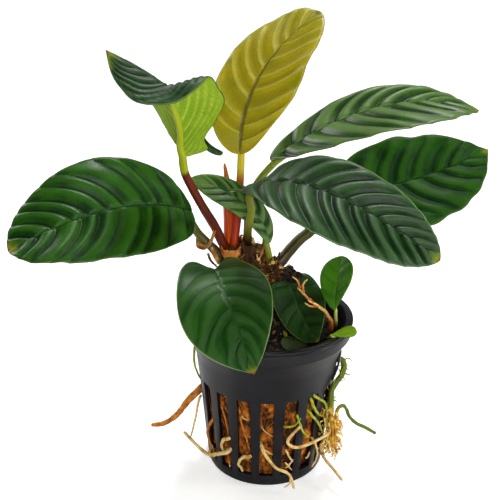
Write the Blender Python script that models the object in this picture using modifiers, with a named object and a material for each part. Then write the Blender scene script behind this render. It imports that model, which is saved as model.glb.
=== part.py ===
"""Broad-leaved aquarium plant in a 5 cm slotted net pot.

Metres, +Z up. The origin is the middle of the pot's flat underside, and the
plant's front faces -Y. Tables are in millimetres and are scaled by MM.
"""
import math

import bmesh
import bpy
from mathutils import Vector

MM = 0.001
OBJECT_NAME = "potted_aquarium_plant"
GAP = 0.35                      # clearance between pieces that touch

# Pot, outside and inside profiles as (radius, height) from the bottom up
POT_OUTSIDE = ((17.6, 0.0), (18.2, 1.1), (21.9, 38.2), (24.6, 44.8), (25.2, 45.4),
               (25.7, 49.4), (25.2, 50.0))
POT_INSIDE = ((16.95, 1.8), (20.6, 37.8), (22.4, 42.8), (23.3, 49.1), (24.0, 50.0))
POT_FLOOR = 1.8
SLOT_COUNT = 18
SLOT_WIDTH = 4.0
SLOT_BOTTOM = 4.0
SLOT_TOP = 31.0
FLOOR_SLOT_COUNT = 6

# Filling
PLUG_TOP = 40.0
PLUG_CLEARANCE = 1.6            # the fibre plug stands in from the ribs
SOIL_TOP = 45.0
MOUND_CENTRE = (6.5, 6.5)
MOUND_HEIGHT = 15.0
MOUND_SPREAD = 4.6

# Leaves
BLADE_THICKNESS = 0.8
BLADE_ROWS = 11                 # faces from base to tip
BLADE_COLUMNS = 6               # faces from edge to edge

# A blade lies along its midrib, a curve with the points of spine, from its
# base to its tip. side is the direction of its right half at the base and at
# the tip, half the widths of its left and right halves, taper how full it is
# towards the base and the tip, sweep how far the side veins lean forward,
# lobes how far each half reaches back behind the base (all as fractions of
# the length), and fold the angle by which each half rises from the midrib.
BLADES = {
    "blade_left": dict(
        spine=((-22.8, 0.2, 81.5), (-37.7, -22.2, 96.4), (-66.3, -33.0, 81.8)),
        side=((-0.42, 0.53, 0.72), (0.14, 0.87, 0.45)), half=(15.5, 15.2),
        taper=(0.53, 1.01), sweep=0.23, lobes=(0.02, 0.02), fold=5),
    "blade_young": dict(
        spine=((-9.0, 4.2, 97.8), (-10.1, 12.7, 119.6), (13.6, 26.9, 135.6)),
        side=((0.97, -0.07, 0.22), (0.63, -0.74, -0.18)), half=(12.2, 14.1),
        taper=(0.5, 1.24), sweep=0.25, lobes=(-0.01, -0.05), fold=8),
    "blade_upper_right": dict(
        spine=((-0.2, 6.6, 95.5), (30.6, 10.0, 118.7), (60.8, 15.0, 109.3)),
        side=((0.15, -0.96, -0.24), (0.23, -0.92, -0.3)), half=(8.9, 20.9),
        taper=(0.84, 1.61), sweep=0.22, lobes=(0.06, 0.02), fold=12),
    "blade_front_right": dict(
        spine=((-6.8, -11.9, 91.8), (5.4, -21.8, 105.2), (41.5, -34.3, 81.6)),
        side=((-0.74, -0.64, -0.11), (-0.42, -0.68, -0.6)), half=(12.4, 16.0),
        taper=(0.27, 1.05), sweep=0.22, lobes=(0.07, -0.06), fold=8),
    "blade_rear_right": dict(
        spine=((12.9, 8.7, 83.6), (45.2, 13.3, 86.3), (68.7, 27.4, 94.6)),
        side=((0.25, -0.84, -0.48), (0.38, -0.59, -0.7)), half=(14.9, 16.4),
        taper=(0.73, 1.64), sweep=0.21, lobes=(0.0, 0.04), fold=8),
    "blade_middle": dict(
        spine=((-0.4, -3.7, 73.7), (-1.5, -3.8, 86.7), (-23.1, 0.6, 91.7)),
        side=((0.73, 0.65, 0.18), (0.21, 0.58, 0.78)), half=(4.9, 4.4),
        taper=(0.67, 1.35), sweep=0.22, lobes=(0.01, 0.02), fold=4),
    "blade_heart": dict(
        spine=((-15.7, -9.8, 68.0), (-11.8, -29.1, 69.0), (-4.2, -40.9, 52.3)),
        side=((-0.99, -0.09, -0.09), (-0.84, 0.35, -0.39)), half=(12.2, 12.6),
        taper=(0.61, 1.23), sweep=0.16, lobes=(0.25, 0.25), fold=6),
    "blade_pot_oval": dict(
        spine=((5.6, 1.6, 60.6), (10.7, -8.5, 48.8), (14.3, -15.4, 48.4)),
        side=((-0.96, -0.24, -0.11), (-0.64, -0.15, -0.75)), half=(8.2, 6.6),
        taper=(0.39, 1.18), sweep=0.16, lobes=(0.09, 0.07), fold=3),
    "blade_pot_low": dict(
        spine=((5.6, -8.8, 46.4), (7.0, -13.8, 45.95), (10.0, -18.2, 46.0)),
        side=((-0.9, -0.4, 0.0), (-0.9, -0.5, 0.0)), half=(3.6, 3.6),
        taper=(0.55, 0.6), sweep=0.05, lobes=(0.0, 0.0), fold=4),
    "blade_sprout": dict(
        spine=((19.1, -8.7, 55.0), (18.9, -4.9, 59.9), (21.9, 4.0, 67.2)),
        side=((0.89, -0.41, 0.16), (0.88, -0.43, 0.15)), half=(5.3, 4.9),
        taper=(0.89, 1.31), sweep=0.22, lobes=(0.01, -0.02), fold=10),
    "blade_bud": dict(
        spine=((17.9, -15.9, 50.9), (19.5, -15.9, 50.9), (24.8, -16.2, 52.3)),
        side=((-0.06, -0.91, -0.38), (0.04, -0.91, -0.38)), half=(2.4, 1.8),
        taper=(0.82, 0.54), sweep=0.1, lobes=(0.0, 0.0), fold=5),
}
HUMP_PLACE = 0.08               # where along the blade a lobe reaches furthest back

# The folded leaf stands with its underside forward and its left half flops
# over, so it is drawn through its two edges and its midrib.
FOLDED_LEFT_EDGE = (
    (-24.5, -6.0, 99.5), (-18.0, -5.0, 101.5), (-18.5, -7.0, 105.0),
    (-15.5, -9.0, 110.0), (-13.0, -11.0, 116.0), (-14.5, -14.0, 120.0),
    (-16.5, -17.0, 123.0), (-19.5, -22.0, 121.0), (-25.0, -25.0, 118.0),
    (-33.0, -26.0, 118.0), (-37.5, -24.0, 121.0), (-40.5, -21.0, 124.5),
    (-42.0, -18.0, 129.5))
FOLDED_MIDRIB = (
    (-24.5, -6.0, 99.5), (-24.5, -7.5, 102.0), (-24.5, -9.0, 105.0),
    (-24.5, -12.0, 110.0), (-26.0, -15.0, 116.0), (-27.0, -16.5, 120.0),
    (-30.0, -17.5, 122.5), (-35.0, -18.0, 125.5), (-42.0, -18.0, 129.5))
FOLDED_RIGHT_EDGE = (
    (-24.5, -6.0, 99.5), (-25.5, -4.0, 101.0), (-29.5, 0.0, 105.5),
    (-32.5, -1.0, 112.5), (-35.0, -3.0, 117.5), (-37.0, -7.0, 122.5),
    (-39.0, -12.0, 126.5), (-41.0, -16.0, 128.0), (-42.0, -18.0, 129.5))

# Stalks, sheath and stems: radius, then points from the bottom to the top
STEMS = {
    "stalk_left": (1.25, ((-16.4, 1.6, 69.6), (-19.0, 2.0, 72.0), (-21.4, 2.0, 74.8),
                          (-23.2, 1.6, 78.2), (-23.3, 1.3, 79.9))),
    "stalk_folded": (1.2, ((-14.0, 1.4, 72.0), (-16.0, 0.5, 77.0), (-19.0, -1.5, 83.0),
                           (-22.0, -3.5, 89.5), (-24.0, -5.0, 94.5), (-24.5, -6.0, 98.8))),
    "stalk_young": (1.1, ((-10.4, 3.4, 72.0), (-9.6, 4.6, 79.5), (-9.0, 5.2, 89.0),
                          (-9.0, 4.3, 97.2))),
    "red_sheath": (1.2, ((-12.2, 5.6, 72.0), (-12.4, 6.2, 80.0), (-12.8, 6.6, 88.0),
                         (-13.6, 6.6, 93.6))),
    "stalk_upper_right": (1.05, ((-6.6, 4.4, 73.6), (-6.4, 4.2, 79.0), (-5.5, 4.0, 84.5),
                                 (-4.4, 4.2, 88.6), (-2.5, 5.0, 91.4), (-0.6, 6.0, 94.6))),
    "stalk_front_right": (1.05, ((-6.2, 0.6, 73.2), (-6.5, -4.6, 77.0), (-6.2, -8.4, 81.5),
                                 (-5.6, -10.2, 86.0), (-5.6, -10.9, 90.4))),
    "stalk_rear_right": (1.3, ((3.3, 5.0, 64.4), (6.0, 6.0, 67.6), (9.0, 6.3, 71.2),
                               (12.6, 7.0, 74.8), (13.4, 7.8, 78.6), (13.3, 8.2, 81.6))),
    "stalk_middle": (0.9, ((0.4, -0.4, 64.2), (0.0, -2.2, 67.5), (-0.5, -3.5, 72.7))),
    "stalk_heart": (1.1, ((-12.4, -3.2, 66.8), (-14.4, -6.2, 67.8), (-15.2, -8.2, 67.9))),
    "stalk_pot_oval": (0.9, ((8.6, 4.6, 58.6), (8.2, 3.8, 60.0), (6.9, 3.0, 61.0))),
    "stalk_pot_low": (0.5, ((4.6, -4.4, 46.8), (4.8, -6.6, 47.2), (5.4, -8.2, 46.8))),
    "sprout_stem": (0.6, ((20.0, -3.0, 46.2), (20.0, -5.5, 49.5), (19.6, -7.4, 52.4),
                          (19.1, -8.4, 54.5))),
    "bud_stem": (0.45, ((16.8, -9.8, 46.2), (17.4, -13.0, 48.6), (17.8, -15.2, 50.5))),
    "withered_stalk": (0.75, ((18.2, -5.9, 46.2), (18.6, -7.4, 49.6), (17.8, -9.0, 52.6),
                              (16.4, -10.4, 55.2), (14.4, -11.8, 57.6), (10.8, -12.6, 60.2))),
}

# Roots: radius, then points from the pot outwards
ROOTS = {
    "root_left_thick": (1.15, ((-21.6, 4.0, 20.0), (-25.0, 3.0, 16.5), (-29.0, 1.0, 12.0),
                               (-32.5, 0.0, 10.0), (-36.5, -2.0, 10.5))),
    "root_left_thin": (0.45, ((-21.4, 1.0, 18.0), (-22.5, 1.0, 11.5), (-24.0, 0.0, 5.0))),
    "root_left_curl": (0.55, ((-11.3, -16.7, 11.5), (-14.0, -16.5, 10.5), (-16.5, -15.0, 9.0),
                              (-18.5, -13.5, 8.5), (-21.0, -12.0, 10.0),
                              (-25.5, -9.0, 13.0))),
    "root_front": (0.55, ((-1.2, -21.4, 15.0), (0.5, -21.8, 12.5), (3.0, -22.0, 9.5),
                          (6.0, -22.0, 8.0), (7.5, -22.0, 6.0), (8.5, -22.0, 2.0))),
    "root_green_drop": (0.95, ((23.6, -2.9, 35.2), (23.5, -4.2, 33.6), (22.9, -5.8, 31.8),
                               (21.2, -9.0, 31.0), (20.0, -11.6, 29.2), (20.0, -10.8, 25.4),
                               (20.1, -9.8, 22.2), (20.4, -9.0, 18.9), (20.8, -8.6, 15.3),
                               (21.1, -8.4, 11.0))),
    "root_green_curl": (0.55, ((22.5, -5.4, 20.4), (23.8, -5.2, 20.9), (25.1, -5.0, 19.1),
                               (26.0, -5.0, 16.9), (28.3, -5.0, 14.4), (31.3, -5.0, 12.8),
                               (34.8, -5.0, 10.7))),
    "root_pale_right": (0.5, ((17.7, -11.5, 7.7), (19.3, -13.5, 6.6), (21.0, -15.5, 5.6),
                              (22.3, -17.5, 4.6), (23.1, -19.0, 3.4))),
    "root_pale_loop": (0.5, ((18.4, -13.0, 15.5), (14.0, -17.6, 16.0), (10.0, -20.2, 16.0),
                             (7.5, -21.6, 17.0), (6.0, -22.2, 19.0), (7.0, -22.6, 21.5),
                             (9.5, -22.2, 24.5))),
}
ROOT_TAPER = 0.45               # thickness left at a root's tip

# Rhizome and the collar that the middle stalks grow from
RHIZOME_POINTS = ((-0.6, 4.4, 56.6), (-2.0, 3.8, 61.0), (-3.8, 3.2, 66.0), (-5.6, 2.6, 71.0))
RHIZOME_RADIUS = 3.6
COLLAR_CENTRE = (-12.2, 3.2, 69.8)
COLLAR_RADII = (3.0, 4.4)
COLLAR_HEIGHT = 3.4

COLOURS = {
    "plastic": (0.016, 0.015, 0.018, 1.0),
    "coir": (0.22, 0.07, 0.018, 1.0),
    "soil": (0.02, 0.011, 0.006, 1.0),
    "leaf": (0.02, 0.1, 0.012, 1.0),
    "young_leaf": (0.32, 0.26, 0.01, 1.0),
    "sprout_leaf": (0.05, 0.22, 0.01, 1.0),
    "stalk": (0.1, 0.12, 0.012, 1.0),
    "red_stalk": (0.3, 0.02, 0.005, 1.0),
    "bark": (0.12, 0.05, 0.015, 1.0),
    "withered": (0.4, 0.14, 0.03, 1.0),
    "pale_root": (0.7, 0.5, 0.2, 1.0),
    "green_root": (0.12, 0.16, 0.015, 1.0),
}
NODE_COLOURS = {
    "blade_young": "young_leaf", "blade_sprout": "sprout_leaf", "blade_bud": "sprout_leaf",
    "stalk_folded": "red_stalk", "red_sheath": "red_stalk", "stalk_young": "red_stalk",
    "withered_stalk": "withered", "root_green_drop": "green_root",
    "root_green_curl": "green_root", "root_left_thick": "withered",
}


def clear_scene():
    """Remove every object of the open scene."""
    for obj in list(bpy.data.objects):
        bpy.data.objects.remove(obj, do_unlink=True)


def new_collection(name):
    """Return a new collection linked to the scene."""
    collection = bpy.data.collections.new(name)
    bpy.context.scene.collection.children.link(collection)
    return collection


def new_material(node_name, colour_name, roughness):
    """Return a Principled material for one node."""
    material = bpy.data.materials.new(node_name + "_material")
    material.use_nodes = True
    shader = material.node_tree.nodes["Principled BSDF"]
    shader.inputs["Base Color"].default_value = COLOURS[colour_name]
    shader.inputs["Roughness"].default_value = roughness
    shader.inputs["Metallic"].default_value = 0.0
    return material


def add_object(name, data, collection, colour_name, roughness=0.5):
    """Link a new object with its own material."""
    data.materials.append(new_material(name, colour_name, roughness))
    obj = bpy.data.objects.new(name, data)
    collection.objects.link(obj)
    return obj


def smooth_path(points, steps):
    """Return a Catmull-Rom curve through the points."""
    knots = [Vector(p) for p in points]
    knots = [knots[0] * 2 - knots[1]] + knots + [knots[-1] * 2 - knots[-2]]
    path = []
    for i in range(1, len(knots) - 2):
        a, b, c, d = knots[i - 1:i + 3]
        for k in range(steps):
            t = k / steps
            path.append(0.5 * (2 * b + (c - a) * t + (2 * a - 5 * b + 4 * c - d) * t ** 2
                               + (3 * b - a - 3 * c + d) * t ** 3))
    path.append(knots[-2])
    return path


def point_on(path, fraction):
    """Return the point at a fraction of the way through a list of points."""
    place = max(0.0, min(1.0, fraction)) * (len(path) - 1)
    first = min(int(place), len(path) - 2)
    return path[first].lerp(path[first + 1], place - first)


def quadratic(a, b, c, t):
    """Return a point of the quadratic curve with control point b."""
    return a * (1 - t) ** 2 + b * (2 * t * (1 - t)) + c * t ** 2


def spine_path(spine, steps=60):
    """Return evenly spaced points along a blade's midrib, and its length."""
    a, b, c = (Vector(p) for p in spine)
    raw = [quadratic(a, b, c, i / steps) for i in range(steps + 1)]
    reach = [0.0]
    for p, q in zip(raw, raw[1:]):
        reach.append(reach[-1] + (q - p).length)
    path, first = [], 0
    for i in range(steps + 1):
        target = reach[-1] * i / steps
        while first < steps - 1 and reach[first + 1] < target:
            first += 1
        span = reach[first + 1] - reach[first]
        path.append(raw[first].lerp(raw[first + 1], (target - reach[first]) / span))
    return path, reach[-1]


def blade_point(blade, path, length, u, v):
    """Return the point of a blade at u across (-1 to 1) and v along (0 to 1)."""
    base_power, tip_power = blade["taper"]
    peak = base_power / (base_power + tip_power)
    fullest = peak ** base_power * (1 - peak) ** tip_power
    width = v ** base_power * (1 - v) ** tip_power / fullest
    right = u > 0
    hump = v / HUMP_PLACE * math.exp(1 - v / HUMP_PLACE)
    edge_along = v + blade["sweep"] * 4 * v * (1 - v) - blade["lobes"][right] * hump
    edge_across = blade["half"][right] * width
    t = abs(u)
    along = (1 - t) ** 2 * v + 2 * t * (1 - t) * (v + (edge_along - v) * 0.25) + t * t * edge_along
    across = edge_across * t
    centre = point_on(path, along)
    ahead = (point_on(path, along + 0.01) - point_on(path, along - 0.01)).normalized()
    centre += ahead * (along - max(0.0, min(1.0, along))) * length
    side = Vector(blade["side"][0]).lerp(Vector(blade["side"][1]), max(0.0, min(1.0, along)))
    side = (side - ahead * side.dot(ahead)).normalized()
    upper = side.cross(ahead)
    fold = math.radians(blade["fold"])
    sign = 1 if right else -1
    return centre + side * (sign * across * math.cos(fold)) + upper * (across * math.sin(fold))


def folded_point(edges, u, v):
    """Return the point of the folded leaf at u across and v along."""
    left, middle, right = edges
    edge = right if u > 0 else left
    start, end = point_on(middle, v), point_on(edge, v)
    ahead = point_on(middle, v + 0.05) - point_on(middle, v - 0.05)
    bend = start.lerp(end, 0.5) + ahead * (0.6 * v * (1 - v))
    return quadratic(start, bend, end, abs(u))


def make_blade(name, place, collection):
    """Make a blade by deforming a grid, and give it thickness."""
    bm = bmesh.new()
    bmesh.ops.create_grid(bm, x_segments=BLADE_COLUMNS, y_segments=BLADE_ROWS, size=1.0)
    for vert in bm.verts:
        v = 0.5 - 0.5 * math.cos(math.pi * (vert.co.y + 1) / 2)
        v = max(0.0, min(1.0, v))
        vert.co = place(vert.co.x, v) * MM
    bmesh.ops.remove_doubles(bm, verts=bm.verts, dist=0.01 * MM)
    mesh = bpy.data.meshes.new(name)
    bm.to_mesh(mesh)
    bm.free()
    mesh.shade_smooth()
    blade = add_object(name, mesh, collection, NODE_COLOURS.get(name, "leaf"), 0.35)
    solidify = blade.modifiers.new("thickness", "SOLIDIFY")
    solidify.thickness = BLADE_THICKNESS * MM
    solidify.offset = 0.0
    return blade


def make_blades(collection):
    """Make every leaf blade."""
    for name, blade in BLADES.items():
        path, length = spine_path(blade["spine"])
        make_blade(name, lambda u, v: blade_point(blade, path, length, u, v), collection)
    edges = [smooth_path(points, 4)
             for points in (FOLDED_LEFT_EDGE, FOLDED_MIDRIB, FOLDED_RIGHT_EDGE)]
    make_blade("blade_folded", lambda u, v: folded_point(edges, u, v), collection)


def make_tube(name, radius, points, collection, tip_scale=1.0, colour="stalk"):
    """Make a round stem through the points, as a curve with closed ends."""
    path = smooth_path(points, 3 if len(points) < 7 else 2)
    curve = bpy.data.curves.new(name, "CURVE")
    curve.dimensions = "3D"
    curve.bevel_depth = radius * MM
    curve.bevel_resolution = 1
    curve.use_fill_caps = True
    spline = curve.splines.new("POLY")
    spline.points.add(len(path) - 1)
    for i, (point, place) in enumerate(zip(spline.points, path)):
        point.co = (*(place * MM), 1.0)
        point.radius = 1 - (1 - tip_scale) * i / (len(path) - 1)
    return add_object(name, curve, collection, NODE_COLOURS.get(name, colour), 0.4)


def make_stems(collection):
    """Make the stalks, the sheath, the small stems and the roots."""
    for name, (radius, points) in STEMS.items():
        make_tube(name, radius, points, collection, 0.85)
    for name, (radius, points) in ROOTS.items():
        make_tube(name, radius, points, collection, ROOT_TAPER, "pale_root")


def make_rhizome(collection):
    """Make the creeping rhizome and the collar on its growing end."""
    make_tube("rhizome", RHIZOME_RADIUS, RHIZOME_POINTS, collection, 0.9, "bark")
    bm = bmesh.new()
    bmesh.ops.create_uvsphere(bm, u_segments=16, v_segments=10, radius=1.0)
    for vert in bm.verts:
        flat = max(-0.7, min(0.45, vert.co.z))
        vert.co = Vector((vert.co.x * COLLAR_RADII[0], vert.co.y * COLLAR_RADII[1],
                          flat * COLLAR_HEIGHT)) + Vector(COLLAR_CENTRE)
        vert.co *= MM
    mesh = bpy.data.meshes.new("crown_collar")
    bm.to_mesh(mesh)
    bm.free()
    mesh.shade_smooth()
    add_object("crown_collar", mesh, collection, "withered", 0.7)


def inside_radius(z):
    """Return the radius of the pot's inside at a height."""
    for (r0, z0), (r1, z1) in zip(POT_INSIDE, POT_INSIDE[1:]):
        if z <= z1:
            return r0 + (r1 - r0) * (z - z0) / (z1 - z0)
    return POT_INSIDE[-1][0]


def turned_object(name, profile, steps, collection, colour, roughness):
    """Make a piece by turning a profile of (radius, height) around the Z axis."""
    mesh = bpy.data.meshes.new(name)
    bm = bmesh.new()
    verts = [bm.verts.new((r * MM, 0.0, z * MM)) for r, z in profile]
    for a, b in zip(verts, verts[1:]):
        bm.edges.new((a, b))
    bm.to_mesh(mesh)
    bm.free()
    obj = add_object(name, mesh, collection, colour, roughness)
    screw = obj.modifiers.new("turn", "SCREW")
    screw.steps = steps
    screw.render_steps = steps
    screw.use_merge_vertices = True
    screw.merge_threshold = 0.00001
    screw.use_smooth_shade = True
    return obj


def radial_boxes(name, count, inner, outer, width, bottom, top, collection):
    """Make a ring of upright boxes that point at the Z axis, as one cutter."""
    bm = bmesh.new()
    for i in range(count):
        box = bmesh.ops.create_cube(bm, size=1.0)["verts"]
        for vert in box:
            vert.co = Vector((vert.co.x * width, (vert.co.y - 0.5) * (outer - inner) - inner,
                              vert.co.z * (top - bottom) + (top + bottom) / 2)) * MM
        turn = 2 * math.pi * i / count
        for vert in box:
            x, y = vert.co.x, vert.co.y
            vert.co.x = x * math.cos(turn) - y * math.sin(turn)
            vert.co.y = x * math.sin(turn) + y * math.cos(turn)
    mesh = bpy.data.meshes.new(name)
    bm.to_mesh(mesh)
    bm.free()
    cutter = bpy.data.objects.new(name, mesh)
    cutter.hide_render = True
    cutter.display_type = "WIRE"
    collection.objects.link(cutter)
    return cutter


def make_pot(collection, cutters):
    """Make the slotted net pot with its turned rim."""
    profile = ((0.0, 0.0), *POT_OUTSIDE, *reversed(POT_INSIDE), (0.0, POT_FLOOR))
    pot = turned_object("net_pot", profile, 54, collection, "plastic", 0.45)
    slots = radial_boxes("wall_slot_cutter", SLOT_COUNT, 13.0, 30.0, SLOT_WIDTH,
                         SLOT_BOTTOM, SLOT_TOP, cutters)
    floor_slots = radial_boxes("floor_slot_cutter", FLOOR_SLOT_COUNT, 5.0, 13.5, 2.6,
                               -1.0, POT_FLOOR + 0.8, cutters)
    for cutter in (slots, floor_slots):
        cut = pot.modifiers.new(cutter.name, "BOOLEAN")
        cut.operation = "DIFFERENCE"
        cut.solver = "EXACT"
        cut.object = cutter


def make_plug(collection):
    """Make the plug of fibre that the roots grow in."""
    low = POT_FLOOR + GAP
    profile = ((0.0, PLUG_TOP), (inside_radius(PLUG_TOP) - PLUG_CLEARANCE, PLUG_TOP),
               (inside_radius(SLOT_TOP) - PLUG_CLEARANCE, SLOT_TOP),
               (inside_radius(low) - PLUG_CLEARANCE, low), (0.0, low))
    turned_object("coir_plug", profile, 32, collection, "coir", 0.9)


def make_soil(collection):
    """Make the layer of soil, with a mound under the rhizome."""
    low = PLUG_TOP + GAP
    radius = inside_radius(low) - GAP
    rings = 5
    bm = bmesh.new()
    profile = [bm.verts.new((radius * i / rings * MM, 0.0, SOIL_TOP * MM))
               for i in range(rings + 1)]
    profile += [bm.verts.new((radius * MM, 0.0, low * MM)), bm.verts.new((0.0, 0.0, low * MM))]
    edges = [bm.edges.new(pair) for pair in zip(profile, profile[1:])]
    bmesh.ops.spin(bm, geom=profile + edges, axis=(0, 0, 1), cent=(0, 0, 0),
                   steps=30, angle=2 * math.pi, use_merge=True)
    bmesh.ops.remove_doubles(bm, verts=bm.verts, dist=0.01 * MM)
    for vert in bm.verts:
        if vert.co.z < (SOIL_TOP - 0.1) * MM:
            continue
        away = ((vert.co.x / MM - MOUND_CENTRE[0]) ** 2 + (vert.co.y / MM - MOUND_CENTRE[1]) ** 2)
        edge = min(1.0, (radius - math.hypot(vert.co.x, vert.co.y) / MM) / 4)
        vert.co.z += MOUND_HEIGHT * math.exp(-away / (2 * MOUND_SPREAD ** 2)) * edge * MM
    bmesh.ops.recalc_face_normals(bm, faces=bm.faces)
    mesh = bpy.data.meshes.new("potting_soil")
    bm.to_mesh(mesh)
    bm.free()
    add_object("potting_soil", mesh, collection, "soil", 0.95)


clear_scene()
parts = new_collection(OBJECT_NAME)
cutters = new_collection("cutters")
make_pot(parts, cutters)
make_plug(parts)
make_soil(parts)
make_rhizome(parts)
make_stems(parts)
make_blades(parts)
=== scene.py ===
import math
import random

import bmesh
import bpy
from mathutils import Matrix, Vector, noise


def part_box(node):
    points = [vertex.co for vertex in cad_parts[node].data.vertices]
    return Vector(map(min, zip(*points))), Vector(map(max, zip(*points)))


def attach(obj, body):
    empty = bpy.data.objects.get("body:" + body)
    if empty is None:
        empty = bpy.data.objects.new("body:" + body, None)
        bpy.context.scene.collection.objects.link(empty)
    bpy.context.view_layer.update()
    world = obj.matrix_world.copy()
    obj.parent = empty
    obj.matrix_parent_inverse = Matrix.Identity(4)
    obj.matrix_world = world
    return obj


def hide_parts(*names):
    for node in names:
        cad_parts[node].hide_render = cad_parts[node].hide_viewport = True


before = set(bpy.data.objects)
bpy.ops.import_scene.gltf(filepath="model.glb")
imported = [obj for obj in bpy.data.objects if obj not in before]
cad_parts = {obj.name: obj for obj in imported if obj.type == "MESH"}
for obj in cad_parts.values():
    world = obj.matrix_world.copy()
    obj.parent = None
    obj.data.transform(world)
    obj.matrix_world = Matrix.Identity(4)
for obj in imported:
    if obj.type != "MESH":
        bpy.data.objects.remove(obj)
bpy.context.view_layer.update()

# Broad-leaved aquarium plant in a 5 cm slotted net pot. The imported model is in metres, with
# the pot standing on the floor at the origin. Tables here are in millimetres.
mm = 0.001
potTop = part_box("net_pot")[1].z / mm
scene = bpy.context.scene


# Curves and small sums

def smoothPath(points, steps=8):  # a Catmull-Rom curve through the points
    knots = [Vector(p) for p in points]
    knots = [knots[0] * 2 - knots[1]] + knots + [knots[-1] * 2 - knots[-2]]
    path = []
    for i in range(1, len(knots) - 2):
        a, b, c, d = knots[i - 1:i + 3]
        for k in range(steps):
            t = k / steps
            path.append(0.5 * (2 * b + (c - a) * t + (2 * a - 5 * b + 4 * c - d) * t ** 2
                               + (3 * b - a - 3 * c + d) * t ** 3))
    path.append(knots[-2])
    return path


def pointOn(path, fraction):
    place = max(0.0, min(1.0, fraction)) * (len(path) - 1)
    first = min(int(place), len(path) - 2)
    return path[first].lerp(path[first + 1], place - first)


def evenPath(path, steps=80):  # the same curve with evenly spaced points, and its length
    reach = [0.0]
    for p, q in zip(path, path[1:]):
        reach.append(reach[-1] + (q - p).length)
    even, first = [], 0
    for i in range(steps + 1):
        target = reach[-1] * i / steps
        while first < len(path) - 2 and reach[first + 1] < target:
            first += 1
        span = max(1e-9, reach[first + 1] - reach[first])
        even.append(path[first].lerp(path[first + 1], (target - reach[first]) / span))
    return even, reach[-1]


def quadratic(a, b, c, t):
    return a * (1 - t) ** 2 + b * (2 * t * (1 - t)) + c * t ** 2


def ease(t):  # a soft step from 0 to 1
    t = max(0.0, min(1.0, t))
    return t * t * (3 - 2 * t)


def rough(point, size, seed=0.0):  # smooth noise from -1 to 1, with bumps of that size in mm
    return noise.noise(Vector((point[0] / size + seed, point[1] / size, point[2] / size)))


def draw(*limits):  # a random vector: each part is within +-limit, or within the pair given
    pairs = [part if isinstance(part, tuple) else (-part, part) for part in limits]
    return Vector([random.uniform(*pair) for pair in pairs] + [0] * (3 - len(pairs)))


def roundabout(low, high):  # a random direction round the Z axis, rising between low and high
    angle = random.uniform(0, 2 * math.pi)
    return Vector((math.cos(angle), math.sin(angle), random.uniform(low, high)))


# Meshes and pieces

def faceOutwards(bm):
    bmesh.ops.recalc_face_normals(bm, faces=bm.faces)


def weld(bm, dist=0.002):
    bmesh.ops.remove_doubles(bm, verts=bm.verts, dist=dist * mm)


def tintOf(bm):  # a tone from 0 to 1 for each point, read by the rough finishes
    return bm.verts.layers.float.get("tint") or bm.verts.layers.float.new("tint")


def turnOutline(bm, outline, steps):  # (radius, height) pairs turned round the Z axis
    points = [bm.verts.new((radius * mm, 0.0, height * mm)) for radius, height in outline]
    edges = [bm.edges.new(pair) for pair in zip(points, points[1:])]
    bmesh.ops.spin(bm, geom=points + edges, axis=(0, 0, 1), cent=(0, 0, 0), steps=steps,
                   angle=2 * math.pi, use_merge=True)
    weld(bm)
    faceOutwards(bm)


def makeObject(name, bm):
    mesh = bpy.data.meshes.new(name)
    bm.to_mesh(mesh)
    bm.free()
    thing = bpy.data.objects.new(name, mesh)
    scene.collection.objects.link(thing)
    return thing


def finishPiece(name, bm, materials, replaced=()):
    piece = makeObject(name, bm)
    piece.data.shade_smooth()
    for material in materials:
        piece.data.materials.append(material)
    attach(piece, "root")
    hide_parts(*replaced)
    return piece


def finishSkin(name, bm, material, replaced=()):  # one finish, faces outwards
    faceOutwards(bm)
    return finishPiece(name, bm, [material], replaced)


def thicken(piece, thickness):
    wall = piece.modifiers.new("thickness", "SOLIDIFY")
    wall.thickness = thickness * mm
    wall.offset = 0.0


# Material building

def addNode(tree, kind, inputs=None, **settings):
    node = tree.nodes.new(kind)
    for key, value in settings.items():
        setattr(node, key, value)
    for key, value in (inputs or {}).items():
        if isinstance(value, bpy.types.NodeSocket):
            tree.links.new(value, node.inputs[key])
        else:
            node.inputs[key].default_value = value
    return node


def blendColours(tree, factor, first, second, mode="MIX"):
    ends = [(*tone, 1.0) if isinstance(tone, tuple) else tone for tone in (first, second)]
    return addNode(tree, "ShaderNodeMix", {0: factor, 6: ends[0], 7: ends[1]},
                   data_type="RGBA", blend_type=mode).outputs[2]


def maths(tree, operation, first, second=0.0):
    return addNode(tree, "ShaderNodeMath", {0: first, 1: second}, operation=operation).outputs[0]


def scaled(tree, value, factor, extra=0.0):  # value times factor, plus extra
    return maths(tree, "ADD", maths(tree, "MULTIPLY", value, factor), extra)


def opposite(tree, value):
    return maths(tree, "SUBTRACT", 1.0, value)


def softStep(tree, value, low, high):
    node = addNode(tree, "ShaderNodeMapRange", {"Value": value, "From Min": low, "From Max": high},
                   interpolation_type="SMOOTHSTEP")
    return node.outputs["Result"]


def newGroup(name, inputs, outputs):
    group = bpy.data.node_groups.new(name, "ShaderNodeTree")
    for socketName in (*inputs, *outputs):
        socket = group.interface.new_socket(socketName, socket_type="NodeSocketFloat",
                                            in_out="INPUT" if socketName in inputs else "OUTPUT")
        if socketName in inputs:
            socket.default_value = inputs[socketName]
    return group, group.nodes.new("NodeGroupInput"), group.nodes.new("NodeGroupOutput")


def newMaterial(name):
    material = bpy.data.materials.new(name)
    material.use_nodes = True
    return material, material.node_tree, material.node_tree.nodes["Principled BSDF"]


# Mottling, fine grain and bumps on Object coordinates, shared by every finish

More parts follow.
